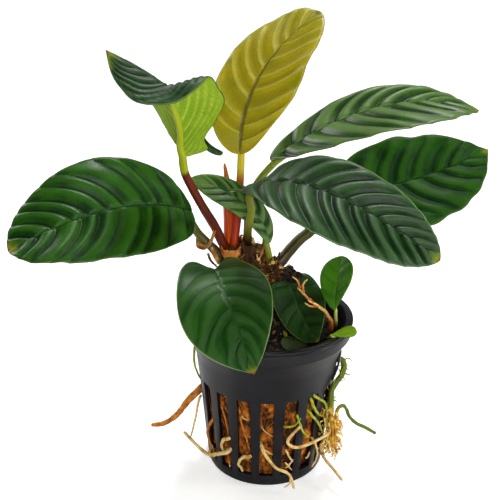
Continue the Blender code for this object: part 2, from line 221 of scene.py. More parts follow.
def buildGrainGroup():
    group, given, result = newGroup(
        "grain", {"Patch Size": 4.0, "Grain Size": 0.4, "Stretch": 1.0}, ("Patches", "Grain"))
    place = addNode(group, "ShaderNodeTexCoord").outputs["Object"]
    parts = addNode(group, "ShaderNodeSeparateXYZ", {0: place})
    flattened = maths(group, "MULTIPLY", parts.outputs[2], given.outputs["Stretch"])
    stretched = addNode(group, "ShaderNodeCombineXYZ",
                        {0: parts.outputs[0], 1: parts.outputs[1], 2: flattened}).outputs[0]
    for output, source, detail in (("Patches", "Patch Size", 3.0), ("Grain", "Grain Size", 2.0)):
        scale = maths(group, "DIVIDE", 1000.0, given.outputs[source])
        texture = addNode(group, "ShaderNodeTexNoise",
                          {"Vector": stretched, "Scale": scale, "Detail": detail})
        group.links.new(texture.outputs["Fac"], result.inputs[output])
    return group


# Masks for a blade from its own map (x across, y along) and its pleat attribute

def buildBladeGroup():
    group, given, result = newGroup(
        "bladeMarks",
        {"Margin Width": 0.03, "Tip Start": 0.92, "Midrib Width": 0.03, "Crest Start": 0.45},
        ("Crest", "Vein_and_furrow_shade", "Margin", "Midrib", "Tip", "Burn"))
    leafMap = addNode(group, "ShaderNodeUVMap", uv_map="leafMap").outputs[0]
    parts = addNode(group, "ShaderNodeSeparateXYZ", {0: leafMap})
    pleat = addNode(group, "ShaderNodeAttribute", attribute_name="pleat").outputs["Fac"]
    centred = maths(group, "SUBTRACT", parts.outputs[0], 0.5)
    across = maths(group, "MULTIPLY", maths(group, "ABSOLUTE", centred), 2.0)
    edge = opposite(group, across)
    place = addNode(group, "ShaderNodeTexCoord").outputs["Object"]
    ragged = addNode(group, "ShaderNodeTexNoise",
                     {"Vector": place, "Scale": 450.0, "Detail": 2.0}).outputs["Fac"]
    along = scaled(group, maths(group, "SUBTRACT", ragged, 0.5), 0.07, parts.outputs[1])
    pulled = scaled(group, softStep(group, across, 0.55, 1.0), 0.03, along)
    tipEnd, burnStart, burnEnd = (maths(group, "ADD", given.outputs["Tip Start"], step)
                                  for step in (0.07, 0.06, 0.085))
    ribEdge = maths(group, "MULTIPLY", given.outputs["Midrib Width"],
                    maths(group, "SUBTRACT", 1.4, parts.outputs[1]))
    masks = {
        # the crest mask places a painted highlight on the pleat crests, and the furrow mask places
        # painted shade in the furrows (on the underside, its pale veins)
        "Crest": softStep(group, pleat, given.outputs["Crest Start"], 1.0),
        "Vein_and_furrow_shade": opposite(group, softStep(group, pleat, 0.0, 0.45)),
        "Margin": opposite(group, softStep(group, edge, 0.0, given.outputs["Margin Width"])),
        "Midrib": opposite(group, softStep(group, across, 0.006, ribEdge)),
        "Tip": softStep(group, pulled, given.outputs["Tip Start"], tipEnd),
        "Burn": softStep(group, pulled, burnStart, burnEnd)}
    for output, mask in masks.items():
        group.links.new(mask, result.inputs[output])
    return group


grainGroup = buildGrainGroup()
bladeGroup = buildBladeGroup()


def grainNode(tree, patchSize, grainSize, stretch=1.0):
    node = addNode(tree, "ShaderNodeGroup", node_tree=grainGroup)
    for key, value in zip(("Patch Size", "Grain Size", "Stretch"), (patchSize, grainSize, stretch)):
        node.inputs[key].default_value = value
    return node.outputs["Patches"], node.outputs["Grain"]


def finishShader(tree, shader, tone, dullness, shine):
    tree.links.new(tone, shader.inputs["Base Color"])
    tree.links.new(dullness, shader.inputs["Roughness"])
    shader.inputs["Specular IOR Level"].default_value = shine


def addBump(tree, shader, height, strength, distance):
    bump = addNode(tree, "ShaderNodeBump",
                   {"Height": height, "Strength": strength, "Distance": distance * mm})
    tree.links.new(bump.outputs["Normal"], shader.inputs["Normal"])


# Leaf finishes: the body of the blade; the tone of its pleat crests, lighter on the upper side
# as a painted highlight; the tone of its furrows, darker on the upper side as painted shade and
# on the underside its pale veins; the thin pale margin, the midrib, the yellowing tip with its
# brown end, and how glossy it is.
leafFinishes = {
    "deepLeaf": dict(
        body=(0.002, 0.029, 0.001), patch=(0.015, 0.08, 0.001), crest=(0.03, 0.125, 0.006),
        vein_and_furrow_shade=(0.001, 0.014, 0.001), margin=(0.08, 0.12, 0.02), midrib=(0.003, 0.02, 0.003),
        tip=(0.18, 0.22, 0.008), burn=(0.26, 0.06, 0.01), roughness=0.41, shine=0.2,
        crestStart=0.68),
    # a lighter copy of the leaf finish with bright crests, for a leaf facing the light: painted
    # light
    "litPaleLeaf": dict(
        body=(0.008, 0.045, 0.002), patch=(0.028, 0.1, 0.003), crest=(0.17, 0.29, 0.07),
        vein_and_furrow_shade=(0.001, 0.012, 0.001), margin=(0.15, 0.24, 0.06), midrib=(0.01, 0.04, 0.008),
        tip=(0.18, 0.22, 0.008), burn=(0.26, 0.06, 0.01), roughness=0.42, shine=0.24,
        crestStart=0.55),
    # a darker copy of deepLeaf with its sheen turned down, for the rear right leaf: painted shade
    "shadedRearLeaf": dict(
        body=(0.002, 0.026, 0.001), patch=(0.01, 0.064, 0.001), crest=(0.024, 0.095, 0.003),
        vein_and_furrow_shade=(0.001, 0.014, 0.001), margin=(0.08, 0.12, 0.02), midrib=(0.004, 0.024, 0.003),
        tip=(0.18, 0.22, 0.008), burn=(0.26, 0.06, 0.01), roughness=0.5, shine=0.08,
        crestStart=0.68),
    # its greyish crests stand for the grey sheen of its gloss: painted reflection
    "greyLeaf": dict(
        body=(0.003, 0.024, 0.002), patch=(0.01, 0.052, 0.004), crest=(0.051, 0.111, 0.038),
        vein_and_furrow_shade=(0.001, 0.01, 0.001), margin=(0.15, 0.24, 0.08), midrib=(0.004, 0.018, 0.004),
        tip=(0.17, 0.24, 0.01), burn=(0.22, 0.08, 0.01), roughness=0.46, shine=0.24,
        crestStart=0.68),
    "heartLeaf": dict(
        body=(0.005, 0.052, 0.001), patch=(0.015, 0.08, 0.002), crest=(0.045, 0.125, 0.025),
        vein_and_furrow_shade=(0.004, 0.042, 0.002), margin=(0.3, 0.42, 0.16), midrib=(0.022, 0.07, 0.02),
        tip=(0.22, 0.24, 0.01), burn=(0.22, 0.06, 0.01), roughness=0.44, shine=0.22,
        crestStart=0.62),
    "darkLeaf": dict(
        body=(0.003, 0.02, 0.002), patch=(0.007, 0.04, 0.003), crest=(0.018, 0.052, 0.009),
        vein_and_furrow_shade=(0.002, 0.016, 0.001), margin=(0.22, 0.3, 0.1), midrib=(0.02, 0.05, 0.02),
        tip=(0.22, 0.24, 0.01), burn=(0.26, 0.07, 0.01), roughness=0.36),
    "oldLeaf": dict(
        body=(0.007, 0.018, 0.001), patch=(0.022, 0.03, 0.003), crest=(0.018, 0.036, 0.004),
        vein_and_furrow_shade=(0.004, 0.012, 0.001), margin=(0.12, 0.13, 0.02), midrib=(0.05, 0.06, 0.01),
        tip=(0.12, 0.08, 0.01), burn=(0.12, 0.04, 0.01), roughness=0.6, shine=0.12),
    "youngLeaf": dict(
        body=(0.45, 0.365, 0.004), patch=(0.32, 0.3, 0.005), crest=(0.62, 0.56, 0.14),
        vein_and_furrow_shade=(0.329, 0.268, 0.005), margin=(0.3, 0.24, 0.01), midrib=(0.085, 0.045, 0.006),
        tip=(0.2, 0.2, 0.01), burn=(0.18, 0.15, 0.01), roughness=0.44, midribWidth=0.075,
        shine=0.24, crestStart=0.75),
    "sproutLeaf": dict(
        body=(0.021, 0.116, 0.002), patch=(0.052, 0.192, 0.004), crest=(0.056, 0.192, 0.006),
        vein_and_furrow_shade=(0.019, 0.104, 0.003), margin=(0.3, 0.42, 0.06), midrib=(0.1, 0.24, 0.02),
        tip=(0.1, 0.26, 0.01), burn=(0.12, 0.2, 0.01), roughness=0.42),
    "budLeaf": dict(
        body=(0.14, 0.32, 0.006), patch=(0.22, 0.4, 0.01), crest=(0.22, 0.4, 0.015),
        vein_and_furrow_shade=(0.08, 0.22, 0.004), margin=(0.32, 0.45, 0.05), midrib=(0.24, 0.38, 0.03),
        tip=(0.2, 0.36, 0.01), burn=(0.2, 0.26, 0.01), roughness=0.42),
    # the underside: its bright yellow-green body is partly its own pale colour and partly painted
    # light shining through the leaf
    "backlitLeafUnderside": dict(
        body=(0.23, 0.37, 0.008), patch=(0.33, 0.46, 0.03), crest=(0.17, 0.32, 0.01),
        vein_and_furrow_shade=(0.46, 0.56, 0.1), margin=(0.012, 0.035, 0.003), midrib=(0.4, 0.48, 0.03),
        tip=(0.24, 0.3, 0.02), burn=(0.16, 0.07, 0.01), roughness=0.6, shine=0.18),
}


def makeLeafMaterial(name, look):
    material, tree, shader = newMaterial(name)
    marks = addNode(tree, "ShaderNodeGroup", node_tree=bladeGroup)
    marks.inputs["Midrib Width"].default_value = look.get("midribWidth", 0.03)
    marks.inputs["Crest Start"].default_value = look.get("crestStart", 0.45)
    patches, grain = grainNode(tree, 7.0, 0.55)
    tone = blendColours(tree, softStep(tree, patches, 0.35, 0.68), look["body"], look["patch"])
    # on the upper side the crest tone is a painted highlight and the furrow tone painted shade; on
    # the underside the furrow tone is its pale veins
    for mark, strength in (("Crest", 0.55), ("Vein_and_furrow_shade", 0.85), ("Midrib", 0.8), ("Tip", 1.0),
                           ("Margin", 1.0), ("Burn", 1.0)):
        mask = maths(tree, "MULTIPLY", marks.outputs[mark], strength)
        tone = blendColours(tree, mask, tone, look[mark.lower()])
    speckle = scaled(tree, grain, 0.5, 0.75)
    grey = addNode(tree, "ShaderNodeCombineXYZ", {0: speckle, 1: speckle, 2: speckle}).outputs[0]
    tone = blendColours(tree, 1.0, tone, grey, "MULTIPLY")
    finishShader(tree, shader, tone, scaled(tree, grain, 0.20, look["roughness"] - 0.10),
                 look.get("shine", 0.34))
    addBump(tree, shader, grain, 0.32, 0.15)
    return material


leafMaterials = {name: makeLeafMaterial(name, look) for name, look in leafFinishes.items()}

# Stalks: the colour low down and high up, where along the stalk it changes and how
# sharply, and the dark streaks along it.
stalkFinishes = {
    "oliveStalk": dict(
        low=(0.045, 0.026, 0.004), high=(0.2, 0.22, 0.01), streak=(0.022, 0.012, 0.002), change=0.5,
        blur=0.3),
    "darkOliveStalk": dict(
        low=(0.035, 0.019, 0.003), high=(0.12, 0.12, 0.007), streak=(0.022, 0.011, 0.002),
        change=0.55, blur=0.45),
    "redBrownStalk": dict(
        low=(0.13, 0.013, 0.001), high=(0.38, 0.44, 0.012), streak=(0.05, 0.005, 0.001),
        change=0.885, blur=0.03),
    "redStalk": dict(
        low=(0.5, 0.034, 0.001), high=(0.58, 0.48, 0.012), streak=(0.26, 0.01, 0.001), change=0.78,
        blur=0.1),
    "bandedStalk": dict(
        low=(0.12, 0.03, 0.003), high=(0.24, 0.31, 0.014), streak=(0.06, 0.014, 0.002), change=0.62,
        blur=0.1),
    "greenStalk": dict(
        low=(0.07, 0.08, 0.006), high=(0.11, 0.18, 0.01), streak=(0.04, 0.035, 0.004), change=0.5,
        blur=0.4),
    "paleStem": dict(
        low=(0.1, 0.06, 0.015), high=(0.42, 0.5, 0.1), streak=(0.16, 0.2, 0.03), change=0.5,
        blur=0.3),
    "witheredStem": dict(
        low=(0.46, 0.11, 0.012), high=(0.76, 0.46, 0.15), streak=(0.22, 0.05, 0.006), change=0.55,
        blur=0.4),
    "pointedSheath": dict(
        low=(0.52, 0.05, 0.002), high=(0.5, 0.13, 0.012), streak=(0.74, 0.26, 0.03), change=0.7,
        blur=0.2),
}


def makeStalkMaterial(name, look):
    material, tree, shader = newMaterial(name)
    stemMap = addNode(tree, "ShaderNodeUVMap", uv_map="stemMap").outputs[0]
    parts = addNode(tree, "ShaderNodeSeparateXYZ", {0: stemMap})
    patches, grain = grainNode(tree, 3.0, 0.35, 0.35)
    along = scaled(tree, maths(tree, "SUBTRACT", patches, 0.5), 0.06, parts.outputs[1])
    change = softStep(tree, along, look["change"] - look["blur"], look["change"] + look["blur"])
    tone = blendColours(tree, change, look["low"], look["high"])
    drawnOut = addNode(tree, "ShaderNodeVectorMath", {0: stemMap, 1: (16.0, 1.6, 1.0)},
                       operation="MULTIPLY").outputs[0]
    streaks = addNode(tree, "ShaderNodeTexNoise",
                      {"Vector": drawnOut, "Scale": 1.0, "Detail": 3.0}).outputs["Fac"]
    plain = opposite(tree, maths(tree, "MULTIPLY", change, 0.75))
    streaked = maths(tree, "MULTIPLY", softStep(tree, streaks, 0.48, 0.70), plain)
    tone = blendColours(tree, streaked, tone, look["streak"])
    blotched = maths(tree, "MULTIPLY", softStep(tree, patches, 0.5, 0.75), 0.45)
    tone = blendColours(tree, maths(tree, "MULTIPLY", blotched, plain), tone, look["streak"])
    finishShader(tree, shader, tone, scaled(tree, grain, 0.2, 0.30), 0.30)
    addBump(tree, shader, scaled(tree, grain, 0.4, streaks), 0.5, 0.15)
    return material


stalkMaterials = {name: makeStalkMaterial(name, look) for name, look in stalkFinishes.items()}

# Rough dry things, roots, soil and fibre: three tones mixed by patches, by each part's own
# tint and by grain.
roughFinishes = {
    "coirPlug": dict(
        dark=(0.05, 0.014, 0.002), body=(0.42, 0.115, 0.007), light=(0.84, 0.3, 0.028), patch=1.5,
        grain=0.5, stretch=0.6, roughness=0.9, bump=1.0),
    "coirFibre": dict(
        dark=(0.25, 0.07, 0.008), body=(0.52, 0.18, 0.018), light=(0.8, 0.42, 0.09), patch=1.6,
        grain=0.3, roughness=0.75, bump=0.3),
    "soil": dict(
        dark=(0.006, 0.003, 0.002), body=(0.022, 0.011, 0.006), light=(0.06, 0.032, 0.014),
        patch=1.6, grain=0.4, roughness=0.95, bump=1.0),
    "collar": dict(
        dark=(0.05, 0.016, 0.003), body=(0.56, 0.17, 0.024), light=(0.76, 0.38, 0.1), patch=2.2,
        grain=0.3, stretch=0.5, roughness=0.5, bump=0.5),
    "greyFilm": dict(
        dark=(0.12, 0.11, 0.08), body=(0.34, 0.35, 0.3), light=(0.6, 0.6, 0.52), patch=1.2,
        grain=0.3, roughness=0.6, bump=0.6),
    "soilCrumb": dict(
        dark=(0.01, 0.005, 0.003), body=(0.045, 0.022, 0.01), light=(0.26, 0.12, 0.04), patch=1.4,
        grain=0.3, roughness=0.9, bump=0.8),
    "moss": dict(
        dark=(0.02, 0.028, 0.004), body=(0.08, 0.1, 0.012), light=(0.26, 0.27, 0.05), patch=2.0,
        grain=0.3, roughness=0.8, bump=0.3),
    "rhizomeBark": dict(
        dark=(0.01, 0.005, 0.002), body=(0.085, 0.038, 0.008), light=(0.34, 0.19, 0.045), patch=2.2,
        grain=0.4, stretch=1.8, roughness=0.8, bump=1.0),
    "drySheath": dict(
        dark=(0.05, 0.016, 0.003), body=(0.36, 0.125, 0.018), light=(0.78, 0.46, 0.14), patch=2.6,
        grain=0.3, stretch=0.5, roughness=0.7, bump=0.6),
    "paleRoot": dict(
        dark=(0.52, 0.27, 0.055), body=(0.9, 0.64, 0.25), light=(1.0, 0.86, 0.55), patch=2.5,
        grain=0.3, roughness=0.5, bump=0.5),
    "brownRoot": dict(
        dark=(0.16, 0.04, 0.005), body=(0.62, 0.2, 0.02), light=(0.86, 0.48, 0.12), patch=2.0,
        grain=0.35, roughness=0.6, bump=0.7),
    "rootHair": dict(
        dark=(0.4, 0.18, 0.015), body=(0.88, 0.5, 0.065), light=(0.96, 0.74, 0.24), patch=2.0,
        grain=0.3, roughness=0.65, bump=0.2),
    "greenRootThin": dict(
        dark=(0.16, 0.2, 0.01), body=(0.4, 0.45, 0.03), light=(0.7, 0.62, 0.14), patch=3.0,
        grain=0.3, roughness=0.5, bump=0.3),
}


def makeRoughMaterial(name, look):
    material, tree, shader = newMaterial(name)
    patches, grain = grainNode(tree, look["patch"], look["grain"], look.get("stretch", 1.0))
    tint = addNode(tree, "ShaderNodeAttribute", attribute_name="tint").outputs["Fac"]
    mixed = maths(tree, "ADD", patches, maths(tree, "SUBTRACT", tint, 0.5))
    tone = blendColours(tree, softStep(tree, mixed, 0.25, 0.55), look["dark"], look["body"])
    tone = blendColours(tree, softStep(tree, mixed, 0.52, 0.85), tone, look["light"])
    tone = blendColours(tree, maths(tree, "MULTIPLY", softStep(tree, grain, 0.45, 0.7), 0.4),
                        tone, look["dark"])
    finishShader(tree, shader, tone, scaled(tree, grain, 0.12, look["roughness"] - 0.06), 0.25)
    addBump(tree, shader, maths(tree, "ADD", patches, grain), 0.6 * look["bump"], 0.3)
    return material


roughMaterials = {name: makeRoughMaterial(name, look) for name, look in roughFinishes.items()}

# Green aerial roots change from green to straw along their length
rootFinishes = {
    "greenRoot": dict(low=(0.085, 0.125, 0.003), high=(0.70, 0.44, 0.080),
                      streak=(0.22, 0.25, 0.015), change=0.66, blur=0.14),
    "greenCurl": dict(low=(0.36, 0.32, 0.030), high=(0.10, 0.15, 0.005),
                      streak=(0.24, 0.26, 0.015), change=0.28, blur=0.12),
}
for finishName, look in rootFinishes.items():
    stalkMaterials[finishName] = makeStalkMaterial(finishName, look)

plasticFinish = dict(body=(0.004, 0.003, 0.005), worn=(0.018, 0.016, 0.020), roughness=0.38)


def makePlastic(look):
    material, tree, shader = newMaterial("potPlastic")
    patches, grain = grainNode(tree, 6.0, 0.25)
    tone = blendColours(tree, softStep(tree, patches, 0.4, 0.8), look["body"], look["worn"])
    tone = blendColours(tree, 0.6, tone, look["body"])
    finishShader(tree, shader, tone, scaled(tree, patches, 0.2, look["roughness"] - 0.1), 0.32)
    addBump(tree, shader, grain, 0.40, 0.10)
    return material


potPlastic = makePlastic(plasticFinish)
print("materials made")

# Camera, floor and lights

view = dict(place=(-0.0058, -0.2186, 0.1563), tilt=68.5, roll=0.87, lens=57.6)
camera = bpy.data.objects.new("camera", bpy.data.cameras.new("camera"))
camera.data.lens = view["lens"]
camera.data.sensor_width = 36.0
camera.data.clip_start = 0.01
camera.matrix_world = (Matrix.Translation(view["place"])
                       @ Matrix.Rotation(math.radians(view["tilt"]), 4, "X")
                       @ Matrix.Rotation(math.radians(view["roll"]), 4, "Z"))
scene.collection.objects.link(camera)
scene.camera = camera

studio = dict(floorSize=6.0, floorTone=(0.82, 0.82, 0.82, 1.0), floorGlow=0.60,
              sky=(1.0, 1.0, 1.0, 1.0), skyStrength=0.13)
sun = dict(place=(0.14, 0.42, 0.88), softness=14, strength=2.3)
lamps = {  # place, size and power in watts
    "front": ((0.15, -0.70, 0.30), 0.30, 3.0),
    "side": ((0.65, -0.10, 0.38), 0.22, 1.7),
    "back": ((-0.35, 0.40, 0.30), 0.30, 1.2),
}


def placeLight(name, light, place):
    holder = bpy.data.objects.new(name, light)
    holder.location = place
    aim = Vector((0.0, 0.0, 0.07)) - Vector(place)
    holder.rotation_euler = aim.to_track_quat("-Z", "Y").to_euler()
    scene.collection.objects.link(holder)


def makeStudio():
    bm = bmesh.new()
    bmesh.ops.create_grid(bm, x_segments=1, y_segments=1, size=studio["floorSize"])
    floor = makeObject("floor", bm)
    material, tree, shader = newMaterial("floorPaint")
    shader.inputs["Base Color"].default_value = studio["floorTone"]
    shader.inputs["Roughness"].default_value = 0.9
    shader.inputs["Emission Color"].default_value = studio["floorTone"]
    seen = addNode(tree, "ShaderNodeLightPath").outputs["Is Camera Ray"]
    tree.links.new(maths(tree, "MULTIPLY", seen, studio["floorGlow"]),
                   shader.inputs["Emission Strength"])
    floor.data.materials.append(material)
    world = bpy.data.worlds.new("sky")
    world.use_nodes = True
    tree = world.node_tree
    sky = tree.nodes["Background"]
    sky.inputs["Color"].default_value = studio["sky"]
    # the backdrop is white to the camera, and only a soft fill to the plant
    seen = addNode(tree, "ShaderNodeLightPath").outputs["Is Camera Ray"]
    tree.links.new(maths(tree, "ADD", seen, studio["skyStrength"]), sky.inputs["Strength"])
    scene.world = world
    light = bpy.data.lights.new("sun", "SUN")
    light.angle = math.radians(sun["softness"])
    light.energy = sun["strength"]
    placeLight("sun", light, sun["place"])
    for name, (place, size, power) in lamps.items():
        lamp = bpy.data.lights.new(name, "AREA")
        lamp.shape = "DISK"
        lamp.size = size
        lamp.energy = power
        placeLight(name, lamp, place)


makeStudio()
scene.view_settings.view_transform = "Standard"
print("camera and studio made")


# Leaf blades. Each lies along its midrib, a curve with the three points of spine from base
# to tip. side is the direction of its right half at the base and at the tip, half the
# widths of its left and right halves, taper how full it is towards base and tip, sweep how
# far the side veins lean forward, lobes how far each half reaches back behind the base,
# and fold the angle by which each half rises from the midrib. veins counts the furrows of
# each half, skew how far they bend towards the tip, pleat is the height of the folds
# between them, ruffle how uneven the outline is, and wave the ripple of the margin.
blades = {
    "blade_left": dict(
        side=((-0.42, 0.53, 0.72), (0.14, 0.87, 0.45)), half=(15.5, 15.2), taper=(0.53, 1.01),
        sweep=0.23, lobes=(0.02, 0.02), fold=5, veins=10.5, ruffle=0.05, pleat=1.05, wave=0.5,
        finish="deepLeaf",
        spine=((-22.8, 0.2, 81.5), (-37.7, -22.2, 96.4), (-66.3, -33, 81.8))),
    "blade_young": dict(
        side=((0.97, -0.07, 0.22), (0.63, -0.74, -0.18)), half=(12.2, 14.1), taper=(0.5, 1.24),
        sweep=0.25, lobes=(-0.01, -0.05), fold=8, veins=9.5, ruffle=0.05, pleat=0.65, wave=0.5,
        finish="youngLeaf", ridged=True,
        spine=((-9, 4.2, 97.8), (-10.1, 12.7, 119.6), (13.6, 26.9, 135.6))),
    "blade_upper_right": dict(
        side=((0.15, -0.96, -0.24), (0.23, -0.92, -0.3)), half=(8.9, 20.9), taper=(0.84, 1.61),
        sweep=0.22, lobes=(0.06, 0.02), fold=12, veins=9.5, ruffle=0.05, pleat=1.1, wave=0.4,
        finish="litPaleLeaf",
        spine=((-0.2, 6.6, 95.5), (30.6, 10, 118.7), (60.8, 15, 109.3))),
    "blade_front_right": dict(
        side=((-0.74, -0.64, -0.11), (-0.42, -0.68, -0.6)), half=(12.4, 16.0), taper=(0.27, 1.05),
        sweep=0.22, lobes=(0.07, -0.06), fold=8, veins=12.0, ruffle=0.04, pleat=1.1, wave=0.3,
        finish="greyLeaf",
        spine=((-6.8, -11.9, 91.8), (5.4, -21.8, 105.2), (41.5, -34.3, 81.6))),
    "blade_rear_right": dict(
        side=((0.25, -0.84, -0.48), (0.38, -0.59, -0.7)), half=(14.9, 16.4), taper=(0.73, 1.64),
        sweep=0.21, lobes=(0.0, 0.04), fold=8, veins=9.5, ruffle=0.13, pleat=0.85, wave=0.9,
        finish="shadedRearLeaf",
        spine=((12.9, 8.7, 83.6), (45.2, 13.3, 86.3), (68.7, 27.4, 94.6))),
    "blade_middle": dict(
        side=((0.73, 0.65, 0.18), (0.21, 0.58, 0.78)), half=(4.9, 4.4), taper=(0.67, 1.35),
        sweep=0.22, lobes=(0.01, 0.02), fold=4, veins=8.0, pleat=0.5, wave=0.2, finish="litPaleLeaf",
        spine=((-0.4, -3.7, 73.7), (-1.5, -3.8, 86.7), (-23.1, 0.6, 91.7))),
    "blade_heart": dict(
        side=((-0.99, -0.09, -0.09), (-0.84, 0.35, -0.39)), half=(12.2, 13.7), taper=(0.61, 1.23),
        sweep=0.16, lobes=(0.25, 0.25), lobePlace=0.048, fold=6, veins=7.5, skew=0.16, pleat=0.42,
        wave=0.2, finish="heartLeaf",
        spine=((-15.7, -9.8, 68), (-11.8, -29.1, 69), (-4.2, -40.9, 52.3))),
    "blade_pot_oval": dict(
        half=(8.2, 6.6), taper=(0.39, 1.18), sweep=0.16, lobes=(0.09, 0.07), fold=3, veins=5.5,
        pleat=0.2, wave=0.15, finish="darkLeaf",
        spine=((5.6, 1.6, 60.6), (10.7, -8.5, 48.8), (14.3, -15.4, 48.4)),
        side=((-0.96, -0.24, -0.11), (-0.64, -0.15, -0.75))),
    "blade_pot_low": dict(
        side=((-0.9, -0.4, 0), (-0.9, -0.5, 0)), half=(3.6, 3.6), taper=(0.55, 0.6), sweep=0.05,
        lobes=(0.0, 0.0), fold=4, veins=4.5, pleat=0.1, wave=0.1, finish="oldLeaf",
        spine=((5.6, -8.8, 46.4), (7, -13.8, 45.95), (10, -18.2, 46))),
    "blade_sprout": dict(
        side=((0.89, -0.41, 0.16), (0.88, -0.43, 0.15)), half=(5.3, 4.9), taper=(0.89, 1.31),
        sweep=0.22, lobes=(0.01, -0.02), fold=10, veins=4.5, pleat=0.15, wave=0.1,
        finish="sproutLeaf",
        spine=((19.1, -8.7, 55), (18.9, -4.9, 59.9), (21.9, 4, 67.2))),
    "blade_folded_lobe": dict(
        side=((-0.75, 0.4, -0.52), (-0.3, 0.5, -0.78)), half=(1.4, 1.4), taper=(0.25, 0.3),
        sweep=0.05, lobes=(0.0, 0.0), fold=25, veins=3.5, pleat=0.08, wave=0.1, finish="greyLeaf",
        spine=((-19.6, -3.6, 105), (-18, -3.6, 101.4), (-13.6, -4.2, 100.4))),
    "blade_bud": dict(
        side=((-0.06, -0.91, -0.38), (0.04, -0.91, -0.38)), half=(2.4, 1.8), taper=(0.82, 0.54),
        sweep=0.1, lobes=(0.0, 0.0), fold=5, veins=3.5, pleat=0.06, wave=0.05, finish="budLeaf",
        spine=((17.9, -15.9, 50.9), (19.5, -15.9, 50.9), (24.8, -16.2, 52.3))),
}
bladeMaking = dict(
    lobePlace=0.08,  # how far along the blade the lobes swell
    thickness=0.5, marginThin=0.35, marginWidth=1.5,
    ribHeight=0.55, ribWidth=0.55, groove=0.22, grooveWidth=0.50,
    pleatStart=0.08, pleatFade=0.72, pleatLevel=0.45,  # across, 0 at the midrib and 1 at the margin
    columns=52, rows=190, smallColumns=28, smallRows=72)

# The folded leaf stands with its underside forward, and its left half flops over
foldedLeaf = dict(
    veins=12.5, skew=0.34, pleat=0.55, wave=0.3, half=(12.0, 10.0), taper=(0.5, 0.8),
    finish="greyLeaf", flapRise=(0, 0.8, 3.4), flapMiddle=0.56, flapReach=0.13,
    leftEdge=((-24.5, -6, 99.5), (-18, -5, 101.5), (-18.5, -7, 105), (-15.5, -9, 110),
              (-13, -11, 116), (-14.5, -14, 120), (-16.5, -17, 123), (-19.5, -22, 121),
              (-25, -25, 118), (-33, -26, 118), (-37.5, -24, 121), (-40.5, -21, 124.5),
              (-42, -18, 129.5)),
    midrib=((-24.5, -6, 99.5), (-24.5, -7.5, 102), (-24.5, -9, 105), (-24.5, -12, 110),
            (-26, -15, 116), (-27, -16.5, 120), (-30, -17.5, 122.5), (-35, -18, 125.5),
            (-42, -18, 129.5)),
    rightEdge=((-24.5, -6, 99.5), (-25.5, -4, 101), (-29.5, 0, 105.5), (-32.5, -1, 112.5),
               (-35, -3, 117.5), (-37, -7, 122.5), (-39, -12, 126.5), (-41, -16, 128),
               (-42, -18, 129.5)))


def bladeWidth(blade, v):  # how wide the blade is at v, from 0 to 1
    low, high = blade["taper"]
    peak = low / (low + high)
    return v ** low * (1 - v) ** high / (peak ** low * (1 - peak) ** high)


def bladePoint(blade, path, length, u, v):  # u runs from -1 to 1 across, v from 0 to 1 along
    right = u > 0
    lobePlace = blade.get("lobePlace", bladeMaking["lobePlace"])
    hump = v / lobePlace * math.exp(1 - v / lobePlace)
    edgeAlong = v + blade["sweep"] * 4 * v * (1 - v) - blade["lobes"][right] * hump
    t = abs(u)
    along = quadratic(v, v + (edgeAlong - v) * 0.12, edgeAlong, t)
    uneven = blade.get("ruffle", 0.0) * t ** 3 * rough((v * 8, blade["half"][0], 5 * right), 1.0)
    across = blade["half"][right] * bladeWidth(blade, v) * t * (1 + uneven)
    clipped = max(0.0, min(1.0, along))
    ahead = (pointOn(path, clipped + 0.01) - pointOn(path, clipped - 0.01)).normalized()
    centre = pointOn(path, clipped) + ahead * ((along - clipped) * length)
    side = Vector(blade["side"][0]).lerp(Vector(blade["side"][1]), clipped)
    side = (side - ahead * side.dot(ahead)).normalized()
    fold = math.radians(blade["fold"])
    sign = 1 if right else -1
    return (centre + side * (sign * across * math.cos(fold))
            + side.cross(ahead) * (across * math.sin(fold)))


def foldedPoint(edges, u, v):
    start = pointOn(edges[1], v)
    end = pointOn(edges[2] if u > 0 else edges[0], v)
    ahead = pointOn(edges[1], v + 0.05) - pointOn(edges[1], v - 0.05)
    bend = start.lerp(end, 0.5) + ahead * (0.6 * v * (1 - v))
    if u < 0:  # the flap rises a little behind the fold
        away = (v - foldedLeaf["flapMiddle"]) / foldedLeaf["flapReach"]
        bend += Vector(foldedLeaf["flapRise"]) * math.exp(-away ** 2)
    return quadratic(start, bend, end, abs(u))


def pleatShape(blade, u, v):  # 0 in a furrow and 1 on a crest; a ridged blade is the reverse
    turn = blade["veins"] * (v - blade.get("skew", 0.0) * abs(u) ** 1.5) + (0.5 if u > 0 else 0.0)
    turn += 0.30 * noise.noise(Vector((v * 9, blade["veins"], 1 if u > 0 else 4)))
    f = turn - math.floor(turn)
    fold = math.sin(math.pi * f ** 0.72)
    return 1 - fold if blade.get("ridged") else fold


